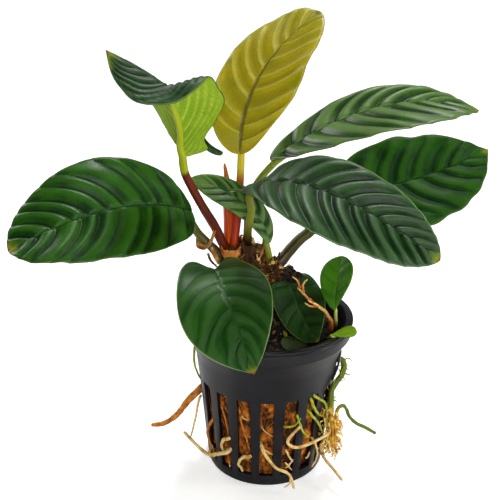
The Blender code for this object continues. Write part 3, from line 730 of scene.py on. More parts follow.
def makeBlade(name, blade, place):
    make = bladeMaking
    small = min(blade["half"]) < 6
    columns = make["smallColumns"] if small else make["columns"]
    rows = make["smallRows"] if small else make["rows"]
    # rows crowd together at both ends, where the outline turns
    stations = [0.5 * j / rows + 0.25 * (1 - math.cos(math.pi * j / rows))
                for j in range(rows + 1)]
    # and columns crowd together at the midrib
    spread = [math.copysign(0.35 * abs(x) + 0.65 * x * x, x)
              for x in (-1 + 2 * i / columns for i in range(columns + 1))]
    skin = [[place(u, v) for u in spread] for v in stations]
    bm = bmesh.new()
    leafMap = bm.loops.layers.uv.new("leafMap")
    pleatLayer = bm.verts.layers.float.new("pleat")
    for level in (0, 1):  # the underside, then the upper side
        bmesh.ops.create_grid(bm, x_segments=columns, y_segments=rows, size=1.0,
                              matrix=Matrix.Translation((0, 0, level)))
    bmesh.ops.bridge_loops(bm, edges=[edge for edge in bm.edges if edge.is_boundary])
    faceOutwards(bm)

    def gridPlace(vert):
        return round((vert.co.x + 1) / 2 * columns), round((vert.co.y + 1) / 2 * rows)

    for face in bm.faces:
        face.material_index = 0 if face.normal.z > 0.5 else 1
        for loop in face.loops:
            i, j = gridPlace(loop.vert)
            loop[leafMap].uv = ((spread[i] + 1) / 2, stations[j])
    seed = blade["spine"][2][0] if "spine" in blade else 7.0
    for vert in bm.verts:
        upper = vert.co.z > 0.5
        i, j = gridPlace(vert)
        u, v, t = spread[i], stations[j], abs(spread[i])
        jn, i0, i1 = max(2, min(rows - 2, j)), max(0, i - 1), min(columns, i + 1)
        upward = (skin[jn][i1] - skin[jn][i0]).cross(skin[jn + 1][i] - skin[jn - 1][i])
        upward.normalize()
        halfWidth = blade["half"][u > 0] * bladeWidth(blade, v)
        across, inward = halfWidth * t, halfWidth * (1 - t)
        narrow = ease(halfWidth / 4)
        crest = pleatShape(blade, u, v)
        fade = ease((t - make["pleatFade"]) / (1 - make["pleatFade"]))
        strength = ease(t / make["pleatStart"]) * (1 - 0.7 * fade) * narrow
        lift = blade["pleat"] * strength * (crest - make["pleatLevel"])
        lift -= make["groove"] * math.exp(-(across / make["grooveWidth"]) ** 2) * narrow
        lift += blade["wave"] * narrow * t ** 3 * rough(skin[j][i], 9.0, seed) * 2
        full = ease(inward / make["marginWidth"])
        thick = make["thickness"] * (make["marginThin"] + (1 - make["marginThin"]) * full)
        if upper:
            offset = lift + thick / 2
        else:
            rib = make["ribHeight"] * (1 - v) * narrow
            offset = lift - thick / 2 - rib * math.exp(-(across / make["ribWidth"]) ** 2)
        # the pleat attribute also drives the painted highlight on crests and painted shade in
        # furrows
        vert[pleatLayer] = 1 - (1 - crest) * strength if t < 0.999 else 1.0
        vert.co = (skin[j][i] + upward * offset) * mm
    weld(bm, 0.004)
    bmesh.ops.dissolve_degenerate(bm, edges=bm.edges, dist=0.002 * mm)
    under = "backlitLeafUnderside" if name != "blade_young" else "youngLeaf"
    finishPiece(name + "_leaf", bm, [leafMaterials[blade["finish"]], leafMaterials[under]],
                [name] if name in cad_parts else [])


bladePlaces = {}
for bladeName, blade in blades.items():
    a, b, c = (Vector(p) for p in blade["spine"])
    spinePath, spineLength = evenPath([quadratic(a, b, c, i / 60) for i in range(61)])
    bladePlaces[bladeName] = (lambda u, v, blade=blade, path=spinePath, length=spineLength:
                              bladePoint(blade, path, length, u, v))
foldedEdges = [smoothPath(foldedLeaf[part]) for part in ("leftEdge", "midrib", "rightEdge")]
blades["blade_folded"] = foldedLeaf
bladePlaces["blade_folded"] = lambda u, v: foldedPoint(foldedEdges, u, v)
for bladeName, blade in blades.items():
    makeBlade(bladeName, blade, bladePlaces[bladeName])
print("leaf blades made")


# Tubes for stalks, stems, roots and fibres: a grid rolled round a path

def addTube(bm, points, radius, around=12, along=30, endScale=0.8, shape=None, tint=0.5,
            mapScale=1.0):
    path, length = evenPath(smoothPath(points, 6), max(12, along))
    capRadius = radius(0.5) if callable(radius) else radius
    cap = min(capRadius, length / 4)
    inner = [cap + (length - 2 * cap) * k / (along - 6) for k in range(along - 5)]
    stations = [0.0, 0.12 * cap, 0.5 * cap] + inner
    stations += [length - 0.5 * cap, length - 0.12 * cap, length]
    centres = [pointOn(path, s / length) for s in stations]
    ahead = (centres[1] - centres[0]).normalized()
    normal = ahead.orthogonal().normalized()
    frames = []
    for k, s in enumerate(stations):
        following = centres[min(k + 1, len(centres) - 1)] - centres[max(k - 1, 0)]
        ahead = following.normalized() if following.length > 1e-6 else ahead
        normal = (normal - ahead * normal.dot(ahead)).normalized()
        frames.append((normal, ahead.cross(normal)))
    stemMap = bm.loops.layers.uv.get("stemMap") or bm.loops.layers.uv.new("stemMap")
    tintLayer = tintOf(bm)
    grid = bmesh.ops.create_grid(bm, x_segments=around, y_segments=len(stations) - 1, size=1.0)
    made = grid["verts"]
    for face in {face for vert in made for face in vert.link_faces}:
        for loop in face.loops:
            k = round((loop.vert.co.y + 1) / 2 * (len(stations) - 1))
            loop[stemMap].uv = ((loop.vert.co.x + 1) / 2, stations[k] / length * mapScale)
    for vert in made:
        k = round((vert.co.y + 1) / 2 * (len(stations) - 1))
        angle = math.pi * vert.co.x
        s, v = stations[k], stations[k] / length
        size = radius(v) if callable(radius) else radius * (1 - (1 - endScale) * v)
        fromEnd = min(1.0, min(s, length - s) / cap)
        size *= math.sqrt(max(0.0, 1 - (1 - fromEnd) ** 2))
        if shape:
            size *= shape(angle, v)
        first, second = frames[k]
        vert.co = (centres[k] + first * (size * math.cos(angle))
                   + second * (size * math.sin(angle))) * mm
        vert[tintLayer] = tint
    bmesh.ops.remove_doubles(bm, verts=made, dist=0.001 * mm)


# Stalks: radius, points from the bottom up, finish, and the blade whose midrib it joins
stalks = {
    "stalk_left": dict(
        radius=1.3, finish="darkOliveStalk", blade="blade_left",
        points=((-12.4, 1.6, 64.4), (-14.4, 1.6, 67), (-16.4, 1.6, 69.6), (-19, 2, 72),
                (-21.4, 2, 74.8), (-23.2, 1.4, 78.4))),
    "stalk_folded": dict(
        radius=1.25, finish="redBrownStalk", blade="blade_folded", reach=0.7,
        points=((-12.6, 2.2, 69.4), (-14, 1.4, 72), (-16, 0.5, 77), (-19, -1.5, 83),
                (-22, -3.5, 89.5), (-24, -5, 94.5))),
    "stalk_young": dict(
        radius=1.15, finish="redStalk", blade="blade_young",
        points=((-10.4, 3, 69.5), (-10.4, 3.4, 72), (-9.6, 4.6, 79.5), (-9, 5.2, 89))),
    "stalk_upper_right": dict(
        radius=1.1, finish="bandedStalk", blade="blade_upper_right",
        points=((-6.6, 4.4, 71), (-6.6, 4.4, 73.6), (-6.4, 4.2, 79), (-5.5, 4, 84.5),
                (-4.4, 4.2, 88.6), (-2.5, 5, 91.4))),
    "stalk_front_right": dict(
        radius=1.1, finish="oliveStalk", blade="blade_front_right",
        points=((-6, 1.6, 71), (-6.2, 0.6, 73.2), (-6.5, -4.6, 77), (-6.2, -8.4, 81.5),
                (-5.6, -10.2, 86))),
    "stalk_rear_right": dict(
        radius=1.65, finish="darkOliveStalk", blade="blade_rear_right",
        points=((-1.8, 3.6, 60.8), (0.8, 4.4, 62.6), (3.3, 5, 64.4), (6, 6, 67.6), (9, 6.3, 71.2),
                (13, 7, 74.8), (14, 8, 79.5))),
    "stalk_middle": dict(
        radius=0.95, finish="oliveStalk", blade="blade_middle",
        points=((0, 3.2, 62), (0.3, 1.4, 64.6), (0, -1.4, 68), (-0.5, -3.3, 71.4))),
    "stalk_heart": dict(
        radius=1.15, finish="greenStalk", blade="blade_heart",
        points=((-11.4, -1.4, 64.4), (-12.6, -4, 65.2), (-14, -7.2, 66.2))),
    "stalk_pot_oval": dict(
        radius=0.95, finish="oliveStalk", blade="blade_pot_oval",
        points=((8.6, 4.6, 56.6), (8, 4, 58.4), (6.9, 3.2, 59.4))),
    "stalk_pot_low": dict(
        radius=0.5, points=((4.6, -4.4, 45.4), (4.8, -6.6, 46.6)), finish="oliveStalk",
        blade="blade_pot_low"),
    "sprout_stem": dict(
        radius=0.55, finish="paleStem", blade="blade_sprout",
        points=((20, -3, 45.4), (20, -5.5, 49.5), (19.6, -7.4, 52.4))),
    "bud_stem": dict(
        radius=0.45, finish="paleStem", blade="blade_bud",
        points=((16.8, -9.8, 45.6), (17.4, -13, 48.6), (17.8, -15.2, 50.5))),
}


def makeStalk(name, stalk):
    place = bladePlaces[stalk["blade"]]
    points = [Vector(p) for p in stalk["points"]]
    reach = stalk.get("reach", 0.42)  # how far it tapers out under the midrib
    for v in (0.0, 0.12 * reach, 0.3 * reach, 0.5 * reach, 0.75 * reach, reach):
        centre = place(0.0, v)
        w = max(v, 0.02)
        upward = (place(0.2, w) - place(-0.2, w)).cross(place(0.0, w + 0.04)
                                                        - place(0.0, w - 0.02)).normalized()
        size = stalk["radius"] * (1 - 0.8 * v / reach)
        points.append(centre - upward * (size + 0.25))
    whole = evenPath(smoothPath(points, 6))[1]
    bare = evenPath(smoothPath(points[:len(stalk["points"]) + 1], 6))[1]
    join = bare / whole
    phase = points[0].x

    def radiusAt(v):
        if v < join:
            return stalk["radius"] * (1.12 - 0.2 * ease(v / join)
                                      + 0.05 * rough((v * whole, phase, 0.0), 2.2))
        return stalk["radius"] * 0.92 * (1 - 0.75 * (v - join) / (1 - join))

    def section(angle, v):  # slightly grooved along its length
        return 1 + 0.035 * math.cos(5 * angle + phase)

    bm = bmesh.new()
    addTube(bm, points, radiusAt, around=20, along=70, shape=section, mapScale=1 / join)
    finishSkin(name + "_skin", bm, stalkMaterials[stalk["finish"]],
               [name])


for stalkName, stalk in stalks.items():
    makeStalk(stalkName, stalk)

# The pointed red sheath, fluted and narrowing to a dark tip
redSheath = dict(radius=1.75, points=((-11.8, 4.8, 69.4), (-11.9, 5.6, 72.0), (-12.1, 6.2, 80.0),
                                      (-12.7, 6.6, 88.0), (-13.6, 6.6, 94.6)))
bm = bmesh.new()
addTube(bm, redSheath["points"],
        lambda v: redSheath["radius"] * (1.0 - 0.72 * ease((v - 0.45) / 0.55)), around=28,
        along=60, shape=lambda angle, v: 1 + 0.10 * math.cos(6 * angle) * (1 - v))
finishSkin("red_sheath_skin", bm, stalkMaterials["pointedSheath"], ["red_sheath"])

# The withered stalk with its dried forks
withered = dict(
    stem=(0.68, ((18.2, -5.9, 45.4), (18.6, -7.4, 49.6), (17.8, -9.0, 52.6),
                 (16.4, -10.4, 55.2), (14.4, -11.8, 57.6), (10.8, -12.6, 60.2))),
    forks=((0.45, ((12.5, -12.2, 59.1), (10.6, -12.4, 60.9), (9.1, -12.2, 62.5),
                   (7.7, -11.9, 63.7))),
           (0.40, ((9.6, -12.2, 62.0), (9.3, -12.0, 64.6), (10.5, -11.6, 66.2))),
           (0.35, ((8.7, -12.0, 63.4), (7.6, -11.6, 65.8), (6.2, -11.2, 66.7))),
           (0.36, ((14.0, -12.0, 58.0), (11.6, -12.9, 58.4), (9.9, -13.2, 59.6)))))
bm = bmesh.new()
for radius, points in (withered["stem"],) + withered["forks"]:
    addTube(bm, points, radius, around=14, along=36, endScale=0.45,
            shape=lambda angle, v: 1 + 0.16 * math.cos(4 * angle + 9 * v)
            + 0.18 * math.sin(23 * v + angle))
finishSkin("withered_stalk_skin", bm, stalkMaterials["witheredStem"],
           ["withered_stalk"])
print("stalks made")

# Roots that leave the pot: radius, points from the pot outwards, and finish
roots = {
    "root_left_thick": dict(
        radius=1.3, end=0.5, finish="brownRoot",
        points=((-19.6, 4.4, 21.6), (-21.6, 4, 20), (-25, 3, 16.5), (-29, 1, 12), (-32.5, 0, 10),
                (-36.5, -2, 10.5))),
    "root_left_thin": dict(
        radius=0.42, end=0.6, finish="paleRoot",
        points=((-20.6, 1.2, 20), (-21.4, 1, 18), (-22.5, 1, 11.5), (-24, 0, 5))),
    "root_left_curl": dict(
        radius=0.62, end=0.75, finish="paleRoot",
        points=((-8.8, -12.4, 12.8), (-11.3, -16.7, 11.5), (-14, -16.5, 10.5), (-16.5, -15, 9),
                (-18.5, -13.5, 8.5), (-21, -12, 10), (-25.5, -9, 13))),
    "root_front": dict(
        radius=0.54, end=0.7, finish="paleRoot",
        points=((-2.2, -15, 16.6), (-1.2, -20.4, 15), (0.5, -21.6, 12.5), (3, -21.8, 9.5),
                (6, -21.8, 8), (7.5, -21.8, 6), (8.5, -21.8, 2.2))),
    "root_green_drop": dict(
        radius=0.92, end=0.8, finish="greenRoot",
        points=((20.9, -2.4, 35.4), (22.9, -2.8, 35.6), (23.4, -4, 33.8), (22.7, -5.6, 31.8),
                (20.7, -8.6, 31), (19.3, -10.9, 29.4), (19.3, -10.3, 25.4), (19.5, -9.4, 22.2),
                (19.9, -8.6, 18.9), (20.3, -8.2, 15.3), (20.8, -8, 11))),
    "root_green_curl": dict(
        radius=0.56, end=0.95, finish="greenCurl",
        points=((21.4, -7, 14), (21.6, -6.4, 17.4), (22.2, -5.6, 20), (23.8, -5.2, 20.9),
                (25.1, -5, 19.1), (26, -5, 16.9), (28.3, -5, 14.4), (31.3, -5, 12.8),
                (34.8, -5, 10.7))),
    "root_pale_right": dict(
        radius=0.58, end=0.75, finish="paleRoot",
        points=((17, -8.8, 9), (17.6, -10.6, 7), (18.6, -13, 6), (20.6, -16, 5.2),
                (23, -20.5, 4.4))),
    "root_pale_loop": dict(
        radius=0.5, end=0.9, finish="paleRoot",
        points=((19.6, -10.6, 15.2), (18.4, -13, 15.5), (14, -17.6, 16), (10, -20.2, 16),
                (7.5, -21.6, 17), (6, -22.2, 19), (7, -22.6, 21.5), (9.5, -22.2, 24.5))),
}
rootForks = dict(root="root_front", tubes=(  # radius, how thin it ends, and points
    (0.36, 0.5, ((7.3, -21.8, 6.2), (7.0, -22.0, 4.0), (5.4, -22.2, 2.8))),
    (0.3, 0.4, ((-1.4, -20.2, 15.2), (0.6, -20.9, 14.4), (1.9, -20.8, 13.4)))))
for rootName, root in roots.items():
    bm = bmesh.new()
    seed = root["points"][0][0]

    def rootRadius(v):
        lumps = 0.16 * rough((v * 40, seed, 0), 3.0) + 0.08 * rough((v * 40, seed, 4), 1.0)
        return root["radius"] * (1 - (1 - root["end"]) * v) * (1 + lumps)

    addTube(bm, root["points"], rootRadius, around=16, along=70,
            shape=lambda angle, v: 1 + 0.06 * math.sin(3 * angle + 17 * v))
    if rootName == rootForks["root"]:
        for radius, end, points in rootForks["tubes"]:
            addTube(bm, points, radius, 12, 20, end)
    material = {**stalkMaterials, **roughMaterials}[root["finish"]]
    finishSkin(rootName + "_skin", bm, material, [rootName])

# Thinner roots in and around the slots
thinRoots = {
    "greenRootThin": (
        (0.5, ((12.6, -16.2, 30.5), (13.4, -16.8, 28.1), (15.2, -14.6, 23.9), (17.4, -11.4, 20.7))),
        (0.48, ((11.4, -16.4, 27), (12.9, -17, 25.1), (15.4, -14.2, 20.4), (17.1, -11, 15.1))),
        (0.45, ((13, -15.4, 31.4), (14.5, -16.4, 30.5), (17.4, -12.4, 26.1), (18.3, -10.4, 20.8),
            (18.6, -9.6, 15))),
        (0.42, ((8.6, -18.4, 26), (9.6, -19.2, 23.2), (10.7, -18.4, 20), (12.7, -16.8, 16.9))),
        (0.38, ((4.8, -19.6, 22.6), (6.1, -20.6, 23.1), (8.1, -20, 23.3), (9.8, -19, 25.2))),
        (0.42, ((19.4, -6.8, 30.4), (20.2, -8, 26), (20.4, -8.2, 20), (20.6, -8, 13))),
        (0.46, ((-21.6, 6.6, 38), (-22.6, 3.2, 36.1), (-22.9, 3, 31.5), (-22.2, 3, 27.9),
            (-20.8, 3, 24.6)))),
    "paleRoot": (
        (0.42, ((13.4, -13.6, 15), (14.7, -14.2, 13.5), (15.9, -12.2, 8.1), (15.3, -12.2, 5.1),
            (14.2, -13.2, 3.6))),
        (0.62, ((-10.6, -15.4, 16), (-11.3, -16.2, 15.7), (-12.8, -14.8, 14.4),
            (-13.6, -13.2, 10.9), (-12.5, -14.2, 9.8), (-11.3, -15.6, 11.8))),
        (0.6, ((-4.2, -17.4, 11.4), (-4.9, -18.6, 11.1), (-7, -17.8, 10.3), (-8.3, -16.9, 7.4),
            (-7.5, -16.9, 5.8), (-6.9, -16.8, 4.4))),
        (0.2, ((-1.6, -18, 21.4), (-1.1, -19, 21), (0.3, -19, 19.6), (1.8, -18.8, 18.6),
            (3, -18.4, 18.5))),
        (0.18, ((-7.6, -17.2, 24.8), (-7.2, -17.9, 24.2), (-5.9, -18.4, 23.8),
            (-4.6, -18.8, 24.4))),
        (0.34, ((5.6, -17, 12.8), (6.1, -17.6, 12.4), (7.3, -16.9, 9.4), (9.2, -15.7, 7.4),
            (10, -15.4, 10.4))),
        (0.3, ((5.8, -16.4, 6), (6.4, -16.9, 6.3), (7.9, -16.5, 8.2), (9.4, -16, 10.7),
            (9.9, -15.8, 12.8))),
        (0.3, ((5.8, -16.6, 7.9), (6.2, -17, 7.5), (7.7, -16.2, 5.1), (9.1, -15.2, 3))),
        (0.34, ((12.2, -12.6, 6.8), (12.7, -13.2, 7.3), (13.9, -12.4, 10), (14.4, -12, 12.3))),
        (0.3, ((-13.5, -11.4, 3.6), (-12.2, -12.7, 3), (-11, -14, 3.8), (-11.3, -14, 6)))),
    "brownRoot": (
        (0.5, ((-15.6, -10.4, 19.4), (-16.8, -10.8, 17.9), (-18.2, -7.4, 12.1), (-17.4, -8.2, 8.7),
            (-15.9, -9.9, 6.2))),
        (0.42, ((-14.8, -11.6, 30), (-14.6, -12.5, 28.6), (-14, -12.9, 26), (-12.5, -13.9, 21.5),
            (-11.7, -14, 17.3), (-11.3, -13.8, 13.2))),
        (0.38, ((-8.2, -16.6, 27), (-8, -17.4, 25.5), (-7.5, -17.2, 21.6), (-6, -17.2, 16.4),
            (-4.8, -17.1, 11.4), (-4.5, -16.8, 7.5)))),
}
for finishName, group in thinRoots.items():
    bm = bmesh.new()
    for radius, points in group:
        addTube(bm, points, radius, 12, 34, 0.6,
                shape=lambda angle, v: 1 + 0.12 * math.sin(31 * v + angle))
    finishSkin("thin_roots_" + finishName, bm, roughMaterials[finishName])
print("roots made")

# Rootlets round the lower end of the green root and beside the slots
rootletSeed = 11
rootlets = [
    dict(centre=(21.2, -8.4), spread=1.5, low=7.5, high=18.5, count=100, radius=0.32, length=2.4),
    dict(centre=(19.8, -9.8), spread=1.4, low=7.0, high=19.0, count=60, radius=0.24, length=3.0),
    dict(centre=(17.6, -12.0), spread=1.2, low=9.0, high=24.0, count=36, radius=0.22, length=3.0),
    dict(centre=(21.3, -8.2), spread=1.9, low=6.0, high=18.5, count=120, radius=0.11, length=2.4),
    dict(centre=(-16.8, -9.4), spread=0.7, low=3.6, high=8.0, count=14, radius=0.22, length=2.2),
]
hanging = dict(count=34, seed=15, top=(19.4, -9.6, 24.0), low=(20.6, -8.8, 6.5), spread=2.3,
               radius=0.42)
stubs = dict(count=26, seed=8, radius=0.22, length=1.5)


def makeRootlets():
    random.seed(rootletSeed)
    bm = bmesh.new()
    for bunch in rootlets:
        for i in range(bunch["count"]):
            angle = random.uniform(0, 2 * math.pi)
            out = bunch["spread"] * math.sqrt(random.random())
            outward = Vector((math.cos(angle), math.sin(angle), 0))
            start = Vector((*bunch["centre"], random.uniform(bunch["low"], bunch["high"])))
            start += outward * out
            reach = bunch["length"] * random.uniform(0.5, 1.3)
            fall = draw(0.4, 0.4, (-1.0, -0.1))
            wander = draw(0.5, 0.5, 0.4)
            points = (start, start + (outward * 0.5 + wander + fall * 0.3) * reach * 0.5,
                      start + (outward * 0.35 + fall) * reach)
            thick = bunch["radius"] * random.uniform(0.7, 1.4)
            addTube(bm, points, thick, 6, 13, 0.45,
                    shape=lambda turn, v: 1 + 0.25 * math.sin(19 * v + i),
                    tint=random.uniform(0.15, 0.9))
    # longer strands that hang down through the bunch
    random.seed(hanging["seed"])
    top, low = Vector(hanging["top"]), Vector(hanging["low"])
    for i in range(hanging["count"]):
        begin, end = sorted((random.uniform(0.0, 0.75), random.uniform(0.3, 1.0)))
        end = min(1.0, max(end, begin + 0.2))
        drift = Vector((random.gauss(0, 0.5), random.gauss(0, 0.5), 0)) * hanging["spread"]
        points = []
        for k in range(5):
            f = begin + (end - begin) * k / 4
            points.append(top.lerp(low, f) + drift * (0.3 + 0.7 * f) + draw(0.45, 0.45))
        addTube(bm, points, hanging["radius"] * random.uniform(0.6, 1.3), 8, 26, 0.5,
                shape=lambda turn, v: 1 + 0.15 * math.sin(31 * v + i),
                tint=random.uniform(0.3, 1.0))
    finishSkin("rootlets", bm, roughMaterials["rootHair"])


def makeStubs():  # short stubs along the green root
    random.seed(stubs["seed"])
    path = smoothPath(roots["root_green_drop"]["points"], 6)
    bm = bmesh.new()
    for i in range(stubs["count"]):
        f = random.uniform(0.06, 0.6)
        ahead = (pointOn(path, f + 0.03) - pointOn(path, f - 0.03)).normalized()
        side = ahead.orthogonal().normalized()
        outward = Matrix.Rotation(random.uniform(0, 6.3), 3, ahead) @ side
        outward = (outward + Vector((0.6, 0, 0))).normalized()
        begin = pointOn(path, f) + outward * 0.8
        reach = stubs["length"] * random.uniform(0.6, 1.5)
        hook = ahead * random.uniform(-0.6, 0.9)
        addTube(bm, (begin, begin + outward * reach * 0.6, begin + (outward + hook) * reach),
                stubs["radius"] * random.uniform(0.7, 1.2), 8, 13, 0.5,
                tint=random.uniform(0.3, 0.8))
    finishSkin("root_stubs", bm, roughMaterials["greenRootThin"])


makeRootlets()
makeStubs()

# Net pot: the outline of its wall and rim is turned, then slots are cut through it
pot = dict(base=18.2, wallTop=21.9, flareTop=25.0, rim=25.7, wall=1.25, floor=1.8,
           # slots: how many, nearest and farthest radius, width, lowest and highest point
           wallSlots=(18, 13.0, 30.0, 4.0, 4.0, 31.0), floorSlots=(6, 5.0, 13.5, 2.6, -1.0, 2.6),
           steps=90, edge=0.16)


def makeCutters():
    bm = bmesh.new()
    for count, near, far, width, low, high in (pot["wallSlots"], pot["floorSlots"]):
        for i in range(count):
            turn = Matrix.Rotation(2 * math.pi * i / count, 4, "Z")
            place = Matrix.Translation((0, -(near + far) / 2 * mm, (low + high) / 2 * mm))
            size = Matrix.Diagonal((width * mm, (far - near) * mm, (high - low) * mm, 1))
            bmesh.ops.create_cube(bm, size=1.0, matrix=turn @ place @ size)
    return makeObject("cutters", bm)


def makePot():
    top, wall = potTop, pot["wall"]
    outline = [(0.0, 0.0), (pot["base"] - 1.1, 0.0), (pot["base"] - 0.35, 0.3),
               (pot["base"], 1.1), (20.0, 20.0), (21.2, 32.0), (pot["wallTop"], 38.2),
               (22.5, 40.2), (23.5, 42.6), (24.5, 44.7), (pot["flareTop"] - 0.15, 45.1),
               (pot["flareTop"] + 0.25, 45.4), (25.45, 47.4), (25.5, 48.5), (25.2, 48.75),
               (25.3, 49.0), (pot["rim"], 49.3), (pot["rim"] - 0.1, top - 0.25),
               (pot["rim"] - 0.5, top), (pot["rim"] - 1.6, top), (pot["rim"] - 2.1, top - 0.2),
               (pot["rim"] - 2.4, top - 0.9), (23.2, 46.0), (22.4, 42.8), (21.4, 40.2),
               (pot["wallTop"] - wall, 37.8), (21.2 - wall, 32.0), (20.0 - wall, 20.0),
               (pot["base"] - wall, pot["floor"] + 0.6),
               (pot["base"] - wall - 0.6, pot["floor"]), (0.0, pot["floor"])]
    bm = bmesh.new()
    turnOutline(bm, outline, pot["steps"])
    turned = makeObject("turned", bm)
    cutter = makeCutters()
    cut = turned.modifiers.new("slots", "BOOLEAN")
    cut.operation = "DIFFERENCE"
    cut.solver = "EXACT"
    cut.object = cutter
    bpy.context.view_layer.update()
    shaped = turned.evaluated_get(bpy.context.evaluated_depsgraph_get())
    bm = bmesh.new()
    bm.from_mesh(shaped.to_mesh())
    shaped.to_mesh_clear()
    bpy.data.objects.remove(turned)
    bpy.data.objects.remove(cutter)
    weld(bm)
    bmesh.ops.dissolve_degenerate(bm, edges=bm.edges, dist=0.002 * mm)
    sharp = [edge for edge in bm.edges
             if len(edge.link_faces) == 2 and edge.calc_face_angle() > math.radians(50)]
    bmesh.ops.bevel(bm, geom=sharp, offset=pot["edge"] * mm, offset_type="OFFSET", segments=2,
                    profile=0.5, affect="EDGES", clamp_overlap=True, material=-1)
    bmesh.ops.triangulate(bm, faces=[face for face in bm.faces if len(face.verts) > 4])
    piece = finishPiece("net_pot_moulding", bm, [potPlastic], ["net_pot"])
    piece.data.set_sharp_from_angle(angle=math.radians(38))


makePot()
print("pot made")

# Coir plug, fibrous and slightly sunk behind the ribs
plug = dict(top=40.0, low=2.2, inset=1.9, rough=0.95, rows=70, steps=200, fibres=620, seed=5)


def plugRadius(z):
    return pot["base"] + (22.0 - pot["base"]) * z / 38.0 - plug["inset"]


def makePlug():
    bm = bmesh.new()
    tintLayer = tintOf(bm)
    rows = plug["rows"]
    heights = [plug["low"] + (plug["top"] - plug["low"]) * i / rows for i in range(rows + 1)]
    outline = [(0.0, plug["low"])] + [(plugRadius(z), z) for z in heights] + [(0.0, plug["top"])]
    turnOutline(bm, outline, plug["steps"])
    for vert in bm.verts:
        place = vert.co / mm
        vert[tintLayer] = 0.5
        flat = Vector((place.x, place.y, 0))
        if flat.length > 1:
            bumps = rough(place, 3.4) + 0.6 * rough(place, 1.3, 7) + 0.4 * rough(place, 0.6, 3)
            vert.co += flat.normalized() * (plug["rough"] * bumps * mm)
            # the tint follows the bumps: painted shade in the hollows, lighter on the bulges
            vert[tintLayer] = 0.38 + 0.40 * bumps
    finishPiece("coir_plug_fibre", bm, [roughMaterials["coirPlug"]], ["coir_plug"])


def makePlugFibres():
    random.seed(plug["seed"])
    bm = bmesh.new()
    for i in range(plug["fibres"]):
        z = random.uniform(3.6, 34.0)
        angle = random.uniform(0, 2 * math.pi)
        lean = random.uniform(-0.22, 0.22)
        rise = random.uniform(2.0, 7.0)
        points = []
        for k in range(4):
            height = min(38.0, z + rise * k / 3)
            turn = angle + lean * k / 3 + random.uniform(-0.03, 0.03)
            out = plugRadius(height) + random.uniform(0.0, 0.75)
            points.append((out * math.cos(turn), out * math.sin(turn), height))
        addTube(bm, points, random.uniform(0.05, 0.11), 4, 11, 0.7, tint=random.uniform(0.0, 0.6))
    finishSkin("coir_plug_strands", bm, roughMaterials["coirFibre"])


makePlug()
makePlugFibres()
print("coir plug made")

# Soil with its mound, crumbs and moss
soil = dict(low=40.35, top=45.0, radius=21.0, mound=(5.6, 6.4), rise=16.5, spread=5.0,
            rings=44, steps=120, seed=21, edge=20.6, crumbs=900, crumbSpread=4.2,
            # clumps: how many, the ranges of x and y, and the height of their middle
            clumps=46, clumpArea=((0.5, 10.5), (0.6, 3.4)), clumpTop=61.6)
moss = dict(count=150, edge=19, seed=31, middle=(4.6, 5.4), spread=4.0)


def soilHeight(x, y):
    away = (x - soil["mound"][0]) ** 2 + (y - soil["mound"][1]) ** 2
    edge = min(1.0, max(0.0, (soil["radius"] - math.hypot(x, y)) / 4))
    bumps = 0.9 * rough((x, y, 0), 3.6) + 0.5 * rough((x, y, 3), 1.5)
    return soil["top"] + soil["rise"] * math.exp(-away / (2 * soil["spread"] ** 2)) * edge + bumps


def makeSoil():
    bm = bmesh.new()
    tintLayer = tintOf(bm)
    outline = [(soil["radius"] * i / soil["rings"], soil["top"]) for i in range(soil["rings"] + 1)]
    turnOutline(bm, outline + [(soil["radius"], soil["low"]), (0, soil["low"])], soil["steps"])
    for vert in bm.verts:
        vert[tintLayer] = 0.25
        if vert.co.z > (soil["top"] - 0.1) * mm:
            vert.co.z = soilHeight(vert.co.x / mm, vert.co.y / mm) * mm
    finishPiece("potting_soil_bed", bm, [roughMaterials["soil"]], ["potting_soil"])


def addCrumb(bm, place, size, level=1, tint=0.5):
    tintLayer = tintOf(bm)
    made = bmesh.ops.create_icosphere(bm, subdivisions=level, radius=1.0)["verts"]
    stretch = draw((0.6, 1.4), (0.6, 1.4), (0.5, 1.0))
    turn = Matrix.Rotation(random.uniform(0, 6.3), 3, "Z") @ Matrix.Rotation(
        random.uniform(0, 3.1), 3, "X")
    for vert in made:
        knobbly = 1 + 0.35 * rough(vert.co * 3 + Vector(place), 1.5)
        vert.co = (turn @ (vert.co * stretch * (size * knobbly)) + Vector(place)) * mm
        vert[tintLayer] = tint


def makeCrumbs():
    random.seed(soil["seed"])
    bm = bmesh.new()
    for i in range(soil["crumbs"]):
        angle, out = random.uniform(0, 2 * math.pi), soil["edge"] * math.sqrt(random.random())
        x, y = out * math.cos(angle), out * math.sin(angle)
        if i % 3 == 0:  # thicker on the mound
            x, y = (random.gauss(middle, soil["crumbSpread"]) for middle in soil["mound"])
        if math.hypot(x, y) > soil["edge"]:
            continue
        size = random.uniform(0.25, 0.62) if i % 9 else random.uniform(0.6, 1.15)
        addCrumb(bm, (x, y, soilHeight(x, y) + size * 0.3), size, 1 if size < 0.6 else 2,
                 random.triangular(0.0, 1.0, 0.3))
    for i in range(soil["clumps"]):  # clumps over the base of the oval leaf and beside the rhizome
        x, y = (random.uniform(*limits) for limits in soil["clumpArea"])
        size = random.uniform(0.5, 1.25)
        z = soil["clumpTop"] - 0.07 * (x - 5.5) ** 2 + random.uniform(-1.2, 0.8)
        addCrumb(bm, (x, y, z), size,
                 1 if size < 0.7 else 2, random.triangular(0.0, 0.7, 0.1))
    finishSkin("soil_crumbs", bm, roughMaterials["soilCrumb"])


